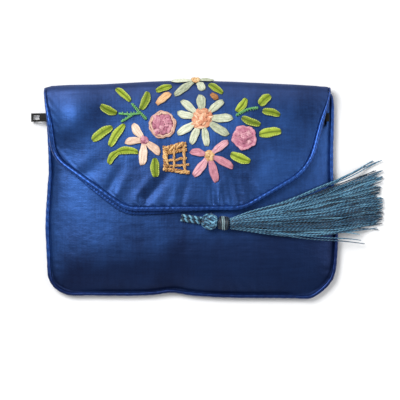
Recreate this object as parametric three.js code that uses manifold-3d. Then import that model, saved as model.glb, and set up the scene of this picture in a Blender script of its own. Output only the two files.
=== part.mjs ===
// Embroidered satin purse with a fold-over flap, a zip and a tassel, lying closed on its back.
// Millimetres: +X across the front, +Y towards the top fold, +Z up from the surface it lies on.
// The origin is the middle of the back panel's flat resting face.
import * as THREE from 'three';
import { mergeVertices } from 'three/addons/utils/BufferGeometryUtils.js';
import Module from 'manifold-3d';

const wasm = await Module();
wasm.setup();

// Driving sizes
const PURSE_WIDTH = 157;
const PURSE_HEIGHT = 116;
const FILL_THICKNESS = 13; // from the back face to the crown of the front panel
const SEAM_HEIGHT = 3.4; // height of the side and bottom seam over the back face
const CLOTH = 1.5; // satin, padding and backing of one panel
const SEAM_ALLOWANCE = 5; // solid cloth inside the edge, all round the pocket
const GAP = 0.3; // clearance between pieces that touch
const LOOSE_GAP = 0.4; // clearance between soft layers that lie on each other

const BODY_PIPING = 2.2;
const FLAP_THICKNESS = 1.6;
const FLAP_PIPING = 3.0;
const FLAP_TAIL = 8; // how far the flap runs down the back below the fold
const FOLD_DEPTH = 5; // from the start of the fold to its crest
const FACING_THICKNESS = 0.8;
const FACING_INSET = 5; // how far the facing reaches in from the flap's edge
const FACING_OVERHANG = 1.7; // how far it shows beyond the piping

const SNAP_DIAMETER = 11;

const ZIP_HEIGHT = 38.7; // height of the zip's line over the middle of the purse
const ZIP_TAPE_WIDTH = 8;
const ZIP_TAPE_THICKNESS = 0.9;
const ZIP_TEETH_WIDTH = 2.6;
const ZIP_TEETH_RISE = 0.4; // how far the teeth stand above the front panel
const ZIP_GROOVE_DEPTH = 2.3;
const ZIP_END_MARGIN = 6.5; // from the purse's side to the end of the tape
const ZIP_END_STOP = { length: 2, width: 4.5, height: 1.2 };

const SLIDER = { length: 8, width: 6.2, height: 1.5, corner: 1.2 };
const SLIDER_SIDE_DISTANCE = 13.5; // from the purse's left side to the middle of the slider
const BRIDGE = { length: 5, width: 1.6, rise: 3, bar: 0.6, setback: 1.5 };
const PULL_LENGTH = 20.6; // from the hinge line to the tip
const PULL_WIDTH = 4.5;
const PULL_THICKNESS = 1.0;
const PULL_BAR = 1.1; // width of the bars round its two windows
const PULL_EYE_LENGTH = 3.9;
const PULL_WINDOW_LENGTH = 3.8;

const TASSEL_LOOP = { width: 4.2, height: 2.2 };
const TASSEL_HEAD = { length: 8.8, diameter: 9 };
const TASSEL_WRAP = { length: 5.4, diameter: 7.2 };
const SKIRT_LENGTH = 82;
const SKIRT_SPREAD = 27;
const SKIRT_THICKNESS = 5.2;
const SKIRT_LOCKS = 9;

const RIBBON_THICKNESS = 1.1; // height of a ribbon stitch over the satin
const THREAD_WIDTH = 1.3;
const THREAD_THICKNESS = 0.9;

// Mesh fineness
const BODY_COLUMNS = 17;
const ROOM_COLUMNS = 14;
const ROOM_ROWS = 10;
const FLAP_COLUMNS = 18;
const FLAP_ROWS = 12;
const FOLD_ROWS = 5;
const CORD_SIDES = 6;
const FUSE_TOLERANCE = 0.01; // corners this close are made one where pieces are joined
const BODY_PIPING_STEPS = 50;
const FLAP_PIPING_STEPS = 54;
const LOCK_STEPS = 8;
const ZIP_STEPS = 16;

const HALF_WIDTH = PURSE_WIDTH / 2;
const HALF_HEIGHT = PURSE_HEIGHT / 2;

// The sides from the bottom edge (up 0) to the top fold (up 1): shares of half the width
const SIDE_RUN = [
  { up: 0.0, left: 0.84, right: 0.82 },
  { up: 0.03, left: 0.925, right: 0.893 },
  { up: 0.07, left: 0.963, right: 0.949 },
  { up: 0.11, left: 0.973, right: 0.978 },
  { up: 0.19, left: 0.978, right: 0.995 },
  { up: 0.34, left: 0.986, right: 1.0 },
  { up: 0.52, left: 0.972, right: 0.978 },
  { up: 0.6, left: 0.964, right: 0.969 },
  { up: 0.73, left: 0.969, right: 0.969 },
  { up: 0.86, left: 0.98, right: 0.973 },
  { up: 0.96, left: 0.988, right: 0.97 },
  { up: 1.0, left: 0.955, right: 0.93 },
];

// The bottom edge and the top fold across the width: shares of half the width and half the height
const BOTTOM_RUN = [
  { across: -1.0, up: -0.962 },
  { across: -0.46, up: -0.972 },
  { across: -0.27, up: -0.966 },
  { across: -0.11, up: -0.943 },
  { across: 0.0, up: -0.968 },
  { across: 0.23, up: -0.988 },
  { across: 0.64, up: -0.994 },
  { across: 1.0, up: -1.0 },
];
const TOP_RUN = [
  { across: -1.0, up: 0.935 },
  { across: -0.94, up: 0.958 },
  { across: -0.6, up: 0.972 },
  { across: -0.2, up: 0.998 },
  { across: 0.16, up: 0.998 },
  { across: 0.5, up: 0.98 },
  { across: 0.92, up: 0.95 },
  { across: 1.0, up: 0.925 },
];

// The filled body from its bottom seam to its top: shares of the fill thickness
const BODY_SECTIONS = [
  { up: 0.0, front: 0.26, back: 0.26 },
  { up: 0.015, front: 0.4, back: 0.13 },
  { up: 0.04, front: 0.56, back: 0.04 },
  { up: 0.08, front: 0.74, back: 0.0 },
  { up: 0.15, front: 0.9, back: 0.0 },
  { up: 0.25, front: 0.98, back: 0.0 },
  { up: 0.36, front: 1.0, back: 0.0 },
  { up: 0.47, front: 1.0, back: 0.0 },
  { up: 0.58, front: 0.97, back: 0.0 },
  { up: 0.68, front: 0.9, back: 0.0 },
  { up: 0.77, front: 0.8, back: 0.0 },
  { up: 0.84, front: 0.71, back: 0.0 },
  { up: 0.93, front: 0.66, back: 0.0 },
  { up: 0.97, front: 0.61, back: 0.14 },
  { up: 0.987, front: 0.53, back: 0.22 },
  { up: 1.0, front: 0.35, back: 0.35 },
];
const SIDE_ROUNDING = { power: 3.2, softness: 0.6 };
const BACK_FLAT_SHARE = 0.86; // share of the half width over which the back lies flat

// Outline of the flap over the front: shares of half the width and half the height, rounding in mm
const FLAP_CORNERS = [
  { across: -0.992, up: 0.855, radius: 0 },
  { across: -0.937, up: 0.281, radius: 19 },
  { across: -0.435, up: -0.196, radius: 19 },
  { across: 0.358, up: -0.188, radius: 22 },
  { across: 0.816, up: 0.175, radius: 31 },
  { across: 0.948, up: 0.862, radius: 0 },
];

// Dents pressed into the cloth: two ends of each crease, its half width and its depth in mm
const FLAP_CREASES = [
  { across: -0.29, up: -0.06, toAcross: -0.17, toUp: 0.13, spread: 4, depth: 0.8 },
  { across: 0.15, up: -0.09, toAcross: 0.15, toUp: 0.05, spread: 4, depth: 0.6 },
  { across: 0.32, up: -0.08, toAcross: 0.3, toUp: 0.04, spread: 5, depth: 0.7 },
];
const BODY_CREASES = [
  { across: -0.11, up: -0.94, toAcross: -0.06, toUp: -0.6, spread: 6, depth: 1.0 },
  { across: 0.15, up: -0.92, toAcross: 0.09, toUp: -0.55, spread: 7, depth: 0.8 },
  { across: 0.42, up: -0.95, toAcross: 0.4, toUp: -0.75, spread: 6, depth: 0.6 },
];

// Where the flap is held up from below: the spread and height of the rise over the slider and the snap
const SLIDER_LIFT = { spread: 14, rise: 4.6 };
const SNAP_LIFT = { spread: 16, rise: 0.6 };
const SNAP_PLACE = { across: 0.03, up: 0.03 };

// The facing beyond the piping, along the flap's edge from the left end to the right end
const FACING_RUN = [
  { along: 0.16, reach: -1.0 },
  { along: 0.27, reach: 0.7 },
  { along: 0.38, reach: 1.0 },
  { along: 0.45, reach: 0.7 },
  { along: 0.5, reach: 0.15 },
  { along: 0.62, reach: -0.6 },
  { along: 0.84, reach: -1.0 },
];

// The tassel's loop over the front: shares of half the width and half the height.
// The rest of the tassel follows its heading
const TASSEL_ROOT = { across: -0.062, up: -0.25 };
const TASSEL_NECK = { across: 0.068, up: -0.278 };
const TASSEL_HEADING = -6; // degrees

// The skirt along its length: middle line's drift, half spread and thickness, shares of their sizes
const SKIRT_RUN = [
  { along: 0.0, drift: 0.0, spread: 0.1, thickness: 1.0 },
  { along: 0.13, drift: 0.04, spread: 0.2, thickness: 0.85 },
  { along: 0.36, drift: 0.07, spread: 0.34, thickness: 0.7 },
  { along: 0.6, drift: 0.14, spread: 0.45, thickness: 0.62 },
  { along: 0.84, drift: 0.25, spread: 0.5, thickness: 0.56 },
  { along: 1.0, drift: 0.31, spread: 0.52, thickness: 0.42 },
];
const SKIRT_DROOP_START = 1.5; // past the purse's side, where the skirt begins to fall
const SKIRT_DROOP_LENGTH = 17;

// Ribbon leaves: the two ends, shares of half the width and half the height, and the width in mm
const LEAVES = [
  { name: 'leaf_a', across: -0.502, up: 0.923, toAcross: -0.405, toUp: 0.812, width: 3.2 },
  { name: 'leaf_b', across: -0.605, up: 0.769, toAcross: -0.497, toUp: 0.7, width: 4.2 },
  { name: 'leaf_c', across: -0.286, up: 0.894, toAcross: -0.335, toUp: 0.735, width: 4.2 },
  { name: 'leaf_d', across: -0.66, up: 0.451, toAcross: -0.527, toUp: 0.576, width: 4.6 },
  { name: 'leaf_e', across: -0.543, up: 0.4, toAcross: -0.445, toUp: 0.6, width: 4.2 },
  { name: 'leaf_f', across: -0.55, up: 0.24, toAcross: -0.485, toUp: 0.345, width: 3.6 },
  { name: 'leaf_g', across: -0.235, up: 0.119, toAcross: -0.24, toUp: 0.29, width: 4.6 },
  { name: 'leaf_h', across: -0.232, up: 0.904, toAcross: -0.128, toUp: 0.945, width: 3.0 },
  { name: 'leaf_i', across: 0.122, up: 0.958, toAcross: 0.217, toUp: 0.884, width: 3.0 },
  { name: 'leaf_j', across: 0.31, up: 0.715, toAcross: 0.375, toUp: 0.834, width: 4.0 },
  { name: 'leaf_k', across: 0.465, up: 0.778, toAcross: 0.536, toUp: 0.864, width: 4.6 },
  { name: 'leaf_l', across: 0.485, up: 0.722, toAcross: 0.602, toUp: 0.685, width: 3.8 },
  { name: 'leaf_m', across: 0.345, up: 0.66, toAcross: 0.47, toUp: 0.596, width: 3.8 },
  { name: 'leaf_n', across: 0.462, up: 0.506, toAcross: 0.609, toUp: 0.536, width: 4.8 },
  { name: 'leaf_o', across: 0.27, up: 0.328, toAcross: 0.4, toUp: 0.258, width: 4.8 },
];

// The long leaf left of the blush flower bends over itself, so its upper arm is a second leaf
const LEAF_ARM = { name: 'leaf_p', across: -0.478, up: 0.362, toAcross: -0.352, toUp: 0.352, width: 3.4 };

// Single ribbon petals
const PEACH = 0xf0c890;
const BROWN = 0xc08850;
const LOOSE_PETALS = [
  { name: 'petal_peach', across: -0.228, up: 0.784, toAcross: -0.138, toUp: 0.885, width: 3.6, color: PEACH },
  { name: 'petal_brown', across: 0.138, up: 0.878, toAcross: 0.178, toUp: 0.826, width: 2.8, color: BROWN },
];

// Flowers: the centre, its radius in mm, and the tip and width of each petal
const FLOWERS = [
  {
    name: 'daisy',
    color: 0xd5d9bc,
    across: 0.078,
    up: 0.656,
    radius: 6.6,
    petals: [
      { across: 0.068, up: 0.868, width: 4.6 },
      { across: 0.221, up: 0.81, width: 3.7 },
      { across: 0.282, up: 0.663, width: 4.2 },
      { across: 0.252, up: 0.5, width: 4.2 },
      { across: 0.108, up: 0.4, width: 3.6 },
      { across: 0.002, up: 0.42, width: 3.8 },
      { across: -0.088, up: 0.512, width: 4.0 },
      { across: -0.088, up: 0.702, width: 3.8 },
      { across: -0.06, up: 0.815, width: 3.8 },
    ],
  },
  {
    name: 'fold_flower',
    color: 0xd5d9bc,
    across: 0.034,
    up: 0.992,
    radius: 2.4,
    petals: [
      { across: -0.126, up: 0.99, width: 2.6 },
      { across: -0.108, up: 0.868, width: 3.4 },
      { across: 0.088, up: 0.912, width: 3.8 },
      { across: 0.155, up: 0.995, width: 2.4 },
    ],
  },
  {
    name: 'blush_flower',
    color: 0xf0dcc8,
    across: -0.312,
    up: 0.451,
    radius: 2.6,
    petals: [
      { across: -0.389, up: 0.6, width: 4.2 },
      { across: -0.44, up: 0.436, width: 3.8 },
      { across: -0.323, up: 0.228, width: 4.2 },
      { across: -0.206, up: 0.33, width: 4.0 },
    ],
  },
  {
    name: 'pink_flower',
    color: 0xd890a0,
    across: 0.126,
    up: 0.318,
    radius: 3.0,
    petals: [
      { across: 0.0, up: 0.352, width: 3.8 },
      { across: 0.252, up: 0.442, width: 3.6 },
      { across: 0.284, up: 0.205, width: 3.8 },
      { across: 0.02, up: 0.129, width: 4.2 },
      { across: 0.175, up: 0.074, width: 4.2 },
    ],
  },
];

// Gathered ribbon roses
const ROSES = [
  { name: 'rose_left', color: 0xcc8098, across: -0.188, up: 0.596, radius: 6.9, height: 2.6, lobes: 7 },
  { name: 'rose_right', color: 0xd088a0, across: 0.361, up: 0.477, radius: 6.4, height: 2.8, lobes: 8 },
];

// Stems and the basket are thread laid in straight runs: the two ends of each
const STEM_LEFT = [
  { across: -0.398, up: 0.79, toAcross: -0.345, toUp: 0.712 },
  { across: -0.352, up: 0.72, toAcross: -0.297, toUp: 0.645 },
  { across: -0.484, up: 0.698, toAcross: -0.34, toUp: 0.7 },
  { across: -0.468, up: 0.622, toAcross: -0.38, toUp: 0.7 },
];
const STEM_RIGHT = [
  { across: 0.306, up: 0.678, toAcross: 0.37, toUp: 0.728 },
  { across: 0.362, up: 0.724, toAcross: 0.455, toUp: 0.752 },
];
const BASKET = [
  { across: -0.182, up: 0.372, toAcross: -0.03, toUp: 0.42 },
  { across: -0.172, up: 0.33, toAcross: -0.026, toUp: 0.36 },
  { across: -0.17, up: 0.262, toAcross: -0.026, toUp: 0.29 },
  { across: -0.166, up: 0.215, toAcross: -0.01, toUp: 0.238 },
  { across: -0.182, up: 0.188, toAcross: -0.008, toUp: 0.156 },
  { across: -0.174, up: 0.38, toAcross: -0.164, toUp: 0.18 },
  { across: -0.112, up: 0.392, toAcross: -0.112, toUp: 0.17 },
  { across: -0.046, up: 0.412, toAcross: -0.04, toUp: 0.16 },
];

const finish = (color, roughness, metalness = 0) =>
  new THREE.MeshStandardMaterial({ color, roughness, metalness });
const SATIN = finish(0x2b4585, 0.38);
const SATIN_EDGE = finish(0x24407c, 0.34);
const BLACK_METAL = finish(0x1a1a14, 0.42, 0.7);
const TAPE = finish(0x1c2c52, 0.8);
const SNAP_METAL = finish(0x8a8a88, 0.35, 1);
const TASSEL_SILK = finish(0x2f6a88, 0.45);
const TASSEL_DARK = finish(0x1a3545, 0.5);
const LEAF_RIBBON = finish(0xa8b83a, 0.6);
const STEM_THREAD = finish(0x7ed28a, 0.6);
const GOLD_THREAD = finish(0xc89850, 0.5);

// Value of one column of a table at a place along another, as a smooth run through its rows
function runAt(rows, along, column, at) {
  const last = rows.length - 1;
  const place = THREE.MathUtils.clamp(at, rows[0][along], rows[last][along]);
  let index = 0;
  while (index < last - 1 && place > rows[index + 1][along]) {
    index += 1;
  }
  const slope = (row) => {
    const before = rows[Math.max(row - 1, 0)];
    const after = rows[Math.min(row + 1, last)];
    return (after[column] - before[column]) / (after[along] - before[along]);
  };
  const from = rows[index];
  const to = rows[index + 1];
  const span = to[along] - from[along];
  const share = (place - from[along]) / span;
  const square = share * share;
  const cube = square * share;
  return (
    (2 * cube - 3 * square + 1) * from[column] +
    (cube - 2 * square + share) * span * slope(index) +
    (3 * square - 2 * cube) * to[column] +
    (cube - square) * span * slope(index + 1)
  );
}

// The larger of two values, with a rounded change-over
const softMax = (a, b, blend) => (a + b + Math.hypot(a - b, blend)) / 2;

// Depth of a set of creases at a place
function creaseDepth(creases, x, y) {
  let depth = 0;
  for (const crease of creases) {
    const from = new THREE.Vector2(crease.across * HALF_WIDTH, crease.up * HALF_HEIGHT);
    const to = new THREE.Vector2(crease.toAcross * HALF_WIDTH, crease.toUp * HALF_HEIGHT);
    const run = to.clone().sub(from);
    const place = new THREE.Vector2(x, y).sub(from);
    const share = THREE.MathUtils.clamp(place.dot(run) / run.lengthSq(), 0, 1);
    const distance = place.sub(run.multiplyScalar(share)).length();
    depth += crease.depth * Math.exp(-((distance / crease.spread) ** 2));
  }
  return depth;
}

// Closed solid between two surfaces over the same (u, v) net, each from 0 to 1; edges that meet are welded
function sheetSolid(upper, lower, columns, rows) {
  const corners = [];
  for (const surface of [upper, lower]) {
    for (let row = 0; row <= rows; row += 1) {
      for (let column = 0; column <= columns; column += 1) {
        corners.push(surface(column / columns, row / rows));
      }
    }
  }
  const layer = (columns + 1) * (rows + 1);
  const at = (side, column, row) => side * layer + row * (columns + 1) + column;
  const faces = [];
  const quad = (a, b, c, d) => faces.push([a, b, c], [a, c, d]);
  for (let row = 0; row < rows; row += 1) {
    for (let column = 0; column < columns; column += 1) {
      quad(at(0, column, row), at(0, column + 1, row), at(0, column + 1, row + 1), at(0, column, row + 1));
      quad(at(1, column, row), at(1, column, row + 1), at(1, column + 1, row + 1), at(1, column + 1, row));
    }
    quad(at(0, 0, row), at(0, 0, row + 1), at(1, 0, row + 1), at(1, 0, row));
    quad(at(0, columns, row), at(1, columns, row), at(1, columns, row + 1), at(0, columns, row + 1));
  }
  for (let column = 0; column < columns; column += 1) {
    quad(at(0, column, 0), at(1, column, 0), at(1, column + 1, 0), at(0, column + 1, 0));
    quad(at(0, column, rows), at(0, column + 1, rows), at(1, column + 1, rows), at(1, column, rows));
  }
  return meshOf(corners, faces);
}

// Closed solid through a row of rings of equal count, with a fan cap on each end
function loftSolid(rings) {
  const count = rings[0].length;
  const corners = rings.flat();
  const faces = [];
  for (let ring = 0; ring + 1 < rings.length; ring += 1) {
    for (let side = 0; side < count; side += 1) {
      const next = (side + 1) % count;
      const a = ring * count + side;
      const b = ring * count + next;
      faces.push([a, b, b + count], [a, b + count, a + count]);
    }
  }
  const cap = (start, flipped) => {
    const centre = new THREE.Vector3();
    for (let side = 0; side < count; side += 1) {
      centre.add(corners[start + side]);
    }
    corners.push(centre.divideScalar(count));
    const middle = corners.length - 1;
    for (let side = 0; side < count; side += 1) {
      const pair = [start + side, start + ((side + 1) % count)];
      faces.push(flipped ? [middle, pair[1], pair[0]] : [middle, pair[0], pair[1]]);
    }
  };
  cap(0, true);
  cap((rings.length - 1) * count, false);
  return meshOf(corners, faces);
}

// Indexed mesh with shared corners merged, faces of no area left out and its faces pointing out
function meshOf(corners, faces) {
  const geometry = new THREE.BufferGeometry();
  geometry.setAttribute('position', new THREE.Float32BufferAttribute(corners.flatMap((p) => p.toArray()), 3));
  geometry.setIndex(faces.flat());
  const merged = mergeVertices(geometry, 1e-3);
  const index = merged.getIndex().array;
  const kept = [];
  let volume = 0;
  const corner = (i) => new THREE.Vector3().fromBufferAttribute(merged.getAttribute('position'), i);
  for (let i = 0; i < index.length; i += 3) {
    const [a, b, c] = [index[i], index[i + 1], index[i + 2]];
    if (a !== b && b !== c && c !== a) {
      kept.push([a, b, c]);
      volume += corner(a).dot(corner(b).cross(corner(c)));
    }
  }
  const outward = volume > 0 ? kept : kept.map(([a, b, c]) => [a, c, b]);
  merged.setIndex(outward.flat());
  return merged;
}

// A geometry as a solid that can be joined and cut, and back
function solidOf(geometry) {
  const bare = geometry.clone();
  bare.deleteAttribute('normal');
  bare.deleteAttribute('uv');
  const merged = mergeVertices(bare, 1e-4);
  const mesh = new wasm.Mesh({
    numProp: 3,
    vertProperties: new Float32Array(merged.getAttribute('position').array),
    triVerts: new Uint32Array(merged.getIndex().array),
  });
  return new wasm.Manifold(mesh);
}

function geometryOf(solid) {
  const mesh = solid.getMesh();
  const geometry = new THREE.BufferGeometry();
  geometry.setAttribute('position', new THREE.BufferAttribute(new Float32Array(mesh.vertProperties), 3));
  geometry.setIndex(new THREE.BufferAttribute(new Uint32Array(mesh.triVerts), 1));
  return geometry;
}

const fused = (geometries) =>
  geometryOf(geometries.map(solidOf).reduce((joined, next) => joined.add(next)).simplify(FUSE_TOLERANCE));

// Outline of the purse: side, bottom and top lines at a place
const leftSide = (up) => -runAt(SIDE_RUN, 'up', 'left', up) * HALF_WIDTH;
const rightSide = (up) => runAt(SIDE_RUN, 'up', 'right', up) * HALF_WIDTH;
const bottomLine = (x) => runAt(BOTTOM_RUN, 'across', 'up', x / HALF_WIDTH) * HALF_HEIGHT;
const topLine = (x) => runAt(TOP_RUN, 'across', 'up', x / HALF_WIDTH) * HALF_HEIGHT;

// The pocket's own edges lie inside the piping at the sides and under the flap at the top
const POCKET_MARGIN = BODY_PIPING + GAP;
const POCKET_TOP_MARGIN = FLAP_THICKNESS + LOOSE_GAP;

// Above this share the back panel steps in by the flap's thickness, under the flap's tail
const POCKET_HEIGHT = PURSE_HEIGHT - POCKET_MARGIN - POCKET_TOP_MARGIN;
const RECESS_STEP = 0.012;
const RECESS_UP = 1 - (FOLD_DEPTH + FLAP_TAIL + LOOSE_GAP - POCKET_TOP_MARGIN) / POCKET_HEIGHT;

function pocketPlace(across, up, sideMargin, bottomMargin, topMargin) {
  const left = leftSide(up) + sideMargin;
  const right = rightSide(up) - sideMargin;
  const x = THREE.MathUtils.lerp(left, right, across);
  const y = THREE.MathUtils.lerp(bottomLine(x) + bottomMargin, topLine(x) - topMargin, up);
  return new THREE.Vector2(x, y);
}

// Height of the seam, which climbs to the middle of the fold at the very top
const seamHeight = (up) => {
  const top = runAt(BODY_SECTIONS, 'up', 'front', 1) * FILL_THICKNESS;
  return THREE.MathUtils.lerp(SEAM_HEIGHT, top, THREE.MathUtils.smoothstep(up, 0.93, 1));
};
const sideBulge = (u) => (1 - Math.abs(u) ** SIDE_ROUNDING.power) ** SIDE_ROUNDING.softness;

// Outer faces of the pocket: u from -1 to 1 across, up from 0 to 1
function frontFace(u, up) {
  const crown = runAt(BODY_SECTIONS, 'up', 'front', up) * FILL_THICKNESS;
  const seam = seamHeight(up);
  return seam + (crown - seam) * sideBulge(THREE.MathUtils.clamp(u, -1, 1));
}

function backFace(u, up) {
  const table = Math.max(runAt(BODY_SECTIONS, 'up', 'back', up), 0) * FILL_THICKNESS;
  const flat = up < RECESS_UP ? table * (up < 0.5 ? 1 : 0) : Math.max(table, POCKET_TOP_MARGIN);
  const rise = Math.max(Math.abs(u) - BACK_FLAT_SHARE, 0) / (1 - BACK_FLAT_SHARE);
  return THREE.MathUtils.lerp(flat, seamHeight(up), rise ** 2);
}

// Height of the front panel's outer face over the surface, also just past the pocket's edge
function frontHeight(x, y) {
  const low = bottomLine(x) + POCKET_MARGIN;
  const high = topLine(x) - POCKET_TOP_MARGIN;
  const up = THREE.MathUtils.clamp((y - low) / (high - low), 0, 1);
  const left = leftSide(up) + POCKET_MARGIN;
  const right = rightSide(up) - POCKET_MARGIN;
  const u = (2 * (x - left)) / (right - left) - 1;
  const fade = 1 - Math.min(Math.abs(u), 1) ** 2;
  return frontFace(u, up) - creaseDepth(BODY_CREASES, x, y) * fade * Math.min(up * 8, 1);
}

// Rows of the pocket follow the table of sections, with two more at the step under the flap's tail
const SECTION_ROWS = [...BODY_SECTIONS.map((section) => section.up), RECESS_UP - RECESS_STEP, RECESS_UP];
SECTION_ROWS.sort((a, b) => a - b);

function pocketOuter() {
  const surface = (face) => (across, share) => {
    const up = SECTION_ROWS[Math.round(share * (SECTION_ROWS.length - 1))];
    const { x, y } = pocketPlace(across, up, POCKET_MARGIN, POCKET_MARGIN, POCKET_TOP_MARGIN);
    const edge = across === 0 || across === 1 || up === 0 || up === 1;
    return new THREE.Vector3(x, y, edge ? seamHeight(up) : face(x, y, across, up));
  };
  const upper = surface((x, y) => frontHeight(x, y));
  const lower = surface((x, y, across, up) => backFace(2 * across - 1, up));
  return sheetSolid(upper, lower, BODY_COLUMNS, SECTION_ROWS.length - 1);
}

// The room inside: the outer form drawn in by the seam allowance and one thickness of cloth.
// It closes towards its edges over the inverse of these, as shares of its width and height
const ROOM_ROUNDING = 9;
const ROOM_TOP_ROUNDING = 14;

function pocketRoom() {
  const side = POCKET_MARGIN + SEAM_ALLOWANCE;
  const top = POCKET_TOP_MARGIN + SEAM_ALLOWANCE;
  const middle = (up) => seamHeight(up) + CLOTH;
  const wall = (edge, inner, across, share) => {
    const toSides = ROOM_ROUNDING * Math.min(across, 1 - across, share);
    const toTop = ROOM_TOP_ROUNDING * (1 - share);
    return THREE.MathUtils.lerp(edge, inner, Math.min(toSides, toTop, 1) ** 0.5);
  };
  const stepHeight = (RECESS_UP - RECESS_STEP) * POCKET_HEIGHT - SEAM_ALLOWANCE - CLOTH;
  const step = stepHeight / (POCKET_HEIGHT - 2 * SEAM_ALLOWANCE);
  const rows = Array.from({ length: ROOM_ROWS }, (_, row) => (row * step) / (ROOM_ROWS - 1));
  rows.push(step + RECESS_STEP, 1);
  const raised = ROOM_ROWS - 1;
  const surface = (inner) => (across, share) => {
    const row = Math.round(share * (rows.length - 1));
    const { x, y } = pocketPlace(across, rows[row], side, side, top);
    return new THREE.Vector3(x, y, wall(middle(rows[row]), inner(x, y, row), across, rows[row]));
  };
  const upper = surface((x, y) => frontHeight(x, y) - CLOTH);
  const lower = surface((x, y, row) => (row > raised ? POCKET_TOP_MARGIN : 0) + CLOTH);
  return sheetSolid(upper, lower, ROOM_COLUMNS, rows.length - 1);
}

const foldStart = (x) => topLine(x) - FOLD_DEPTH;

// Ends of the zip's tape along X
const ZIP_UP = (ZIP_HEIGHT + HALF_HEIGHT) / PURSE_HEIGHT;
const SLIDER_X = leftSide(ZIP_UP) + SLIDER_SIDE_DISTANCE;
const ZIP_START = leftSide(ZIP_UP) + ZIP_END_MARGIN;
const ZIP_END = rightSide(ZIP_UP) - ZIP_END_MARGIN + 1.5;

// Swept strip along the zip's line: rows of the section are y, and z over the front panel
function alongZip(section, from, to, steps) {
  const rings = [];
  for (let step = 0; step <= steps; step += 1) {
    const x = THREE.MathUtils.lerp(from, to, step / steps);
    const level = frontHeight(x, ZIP_HEIGHT);
    rings.push(section.map(([y, z]) => new THREE.Vector3(x, ZIP_HEIGHT + y, level + z)));
  }
  return loftSolid(rings);
}

function pouchShell() {
  const half = ZIP_TAPE_WIDTH / 2 + GAP;
  const high = FILL_THICKNESS;
  const mouth = alongZip(
    [[-half, -ZIP_GROOVE_DEPTH], [half, -ZIP_GROOVE_DEPTH], [half, high], [-half, high]],
    ZIP_START - GAP, ZIP_END + GAP, ZIP_STEPS,
  );
  return geometryOf(solidOf(pocketOuter()).subtract(solidOf(pocketRoom())).subtract(solidOf(mouth)));
}

function zipTape() {
  const half = ZIP_TAPE_WIDTH / 2;
  const tooth = ZIP_TEETH_WIDTH / 2;
  const top = -GAP;
  const base = top - ZIP_TAPE_THICKNESS;
  return alongZip(
    [
      [-half, base], [half, base], [half, top], [tooth, top],
      [tooth, ZIP_TEETH_RISE], [-tooth, ZIP_TEETH_RISE], [-tooth, top], [-half, top],
    ],
    ZIP_START, ZIP_END, ZIP_STEPS,
  );
}

function zipEndStop() {
  return new THREE.BoxGeometry(ZIP_END_STOP.length, ZIP_END_STOP.width, ZIP_END_STOP.height);
}

// Rounded plate outline for the slider
function roundedPlate(length, width, corner) {
  const plate = new THREE.Shape();
  const [a, b] = [length / 2, width / 2];
  plate.moveTo(-a + corner, -b);
  plate.lineTo(a - corner, -b);
  plate.quadraticCurveTo(a, -b, a, -b + corner);
  plate.lineTo(a, b - corner);
  plate.quadraticCurveTo(a, b, a - corner, b);
  plate.lineTo(-a + corner, b);
  plate.quadraticCurveTo(-a, b, -a, b - corner);
  plate.lineTo(-a, -b + corner);
  plate.quadraticCurveTo(-a, -b, -a + corner, -b);
  return plate;
}

const rectangle = (path, x0, y0, x1, y1) => {
  path.moveTo(x0, y0);
  path.lineTo(x1, y0);
  path.lineTo(x1, y1);
  path.lineTo(x0, y1);
  return path;
};

// Slider with its bridge; the origin is the middle of its underside
function zipSlider() {
  const body = new THREE.ExtrudeGeometry(roundedPlate(SLIDER.length, SLIDER.width, SLIDER.corner), {
    depth: SLIDER.height,
    bevelEnabled: false,
    curveSegments: 4,
  });
  const half = BRIDGE.length / 2;
  const arch = rectangle(new THREE.Shape(), -half, -BRIDGE.bar, half, BRIDGE.rise);
  const opening = rectangle(new THREE.Path(), -half + BRIDGE.bar, 0, half - BRIDGE.bar, BRIDGE.rise - BRIDGE.bar);
  arch.holes.push(opening);
  const bridge = new THREE.ExtrudeGeometry(arch, { depth: BRIDGE.width, bevelEnabled: false });
  bridge.rotateX(Math.PI / 2);
  bridge.translate(-BRIDGE.setback, BRIDGE.width / 2, SLIDER.height);
  return fused([body, bridge]);
}

// Pull: its hinge line is the origin and it runs along -X
function zipPull() {
  const bar = (from, to, width, height) => {
    const block = new THREE.BoxGeometry(to - from, width, height);
    block.translate((from + to) / 2, 0, 0);
    return solidOf(block);
  };
  const plate = bar(-PULL_LENGTH, PULL_BAR / 2, PULL_WIDTH, PULL_THICKNESS);
  const inner = PULL_WIDTH - 2 * PULL_BAR;
  const deep = 2 * PULL_THICKNESS;
  const eye = bar(-PULL_BAR / 2 - PULL_EYE_LENGTH, -PULL_BAR / 2, inner, deep);
  const windowEnd = -PULL_LENGTH + PULL_BAR;
  const grip = bar(windowEnd, windowEnd + PULL_WINDOW_LENGTH, inner, deep);
  return geometryOf(plate.subtract(eye).subtract(grip));
}

// Layers over the front panel: facing, then the flap, with the piping on its edge
const PIPING_TOP = SEAM_HEIGHT + BODY_PIPING / 2;
const FLAP_CLEARANCE = LOOSE_GAP + FACING_THICKNESS + LOOSE_GAP;
const SNAP_CENTRE = [SNAP_PLACE.across * HALF_WIDTH, SNAP_PLACE.up * HALF_HEIGHT];
const FLAP_LIFTS = [
  { ...SLIDER_LIFT, centre: [SLIDER_X, ZIP_HEIGHT] },
  { ...SNAP_LIFT, centre: SNAP_CENTRE },
];

function flapLift(x, y) {
  let rise = 0;
  for (const { spread, rise: height, centre } of FLAP_LIFTS) {
    const distance = Math.hypot(x - centre[0], y - centre[1]);
    rise += height * Math.exp(-((distance / spread) ** 2));
  }
  return rise;
}

const restHeight = (x, y) => softMax(frontHeight(x, y), PIPING_TOP, 1) + flapLift(x, y);
const flapUnderside = (x, y) => restHeight(x, y) + FLAP_CLEARANCE;

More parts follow.
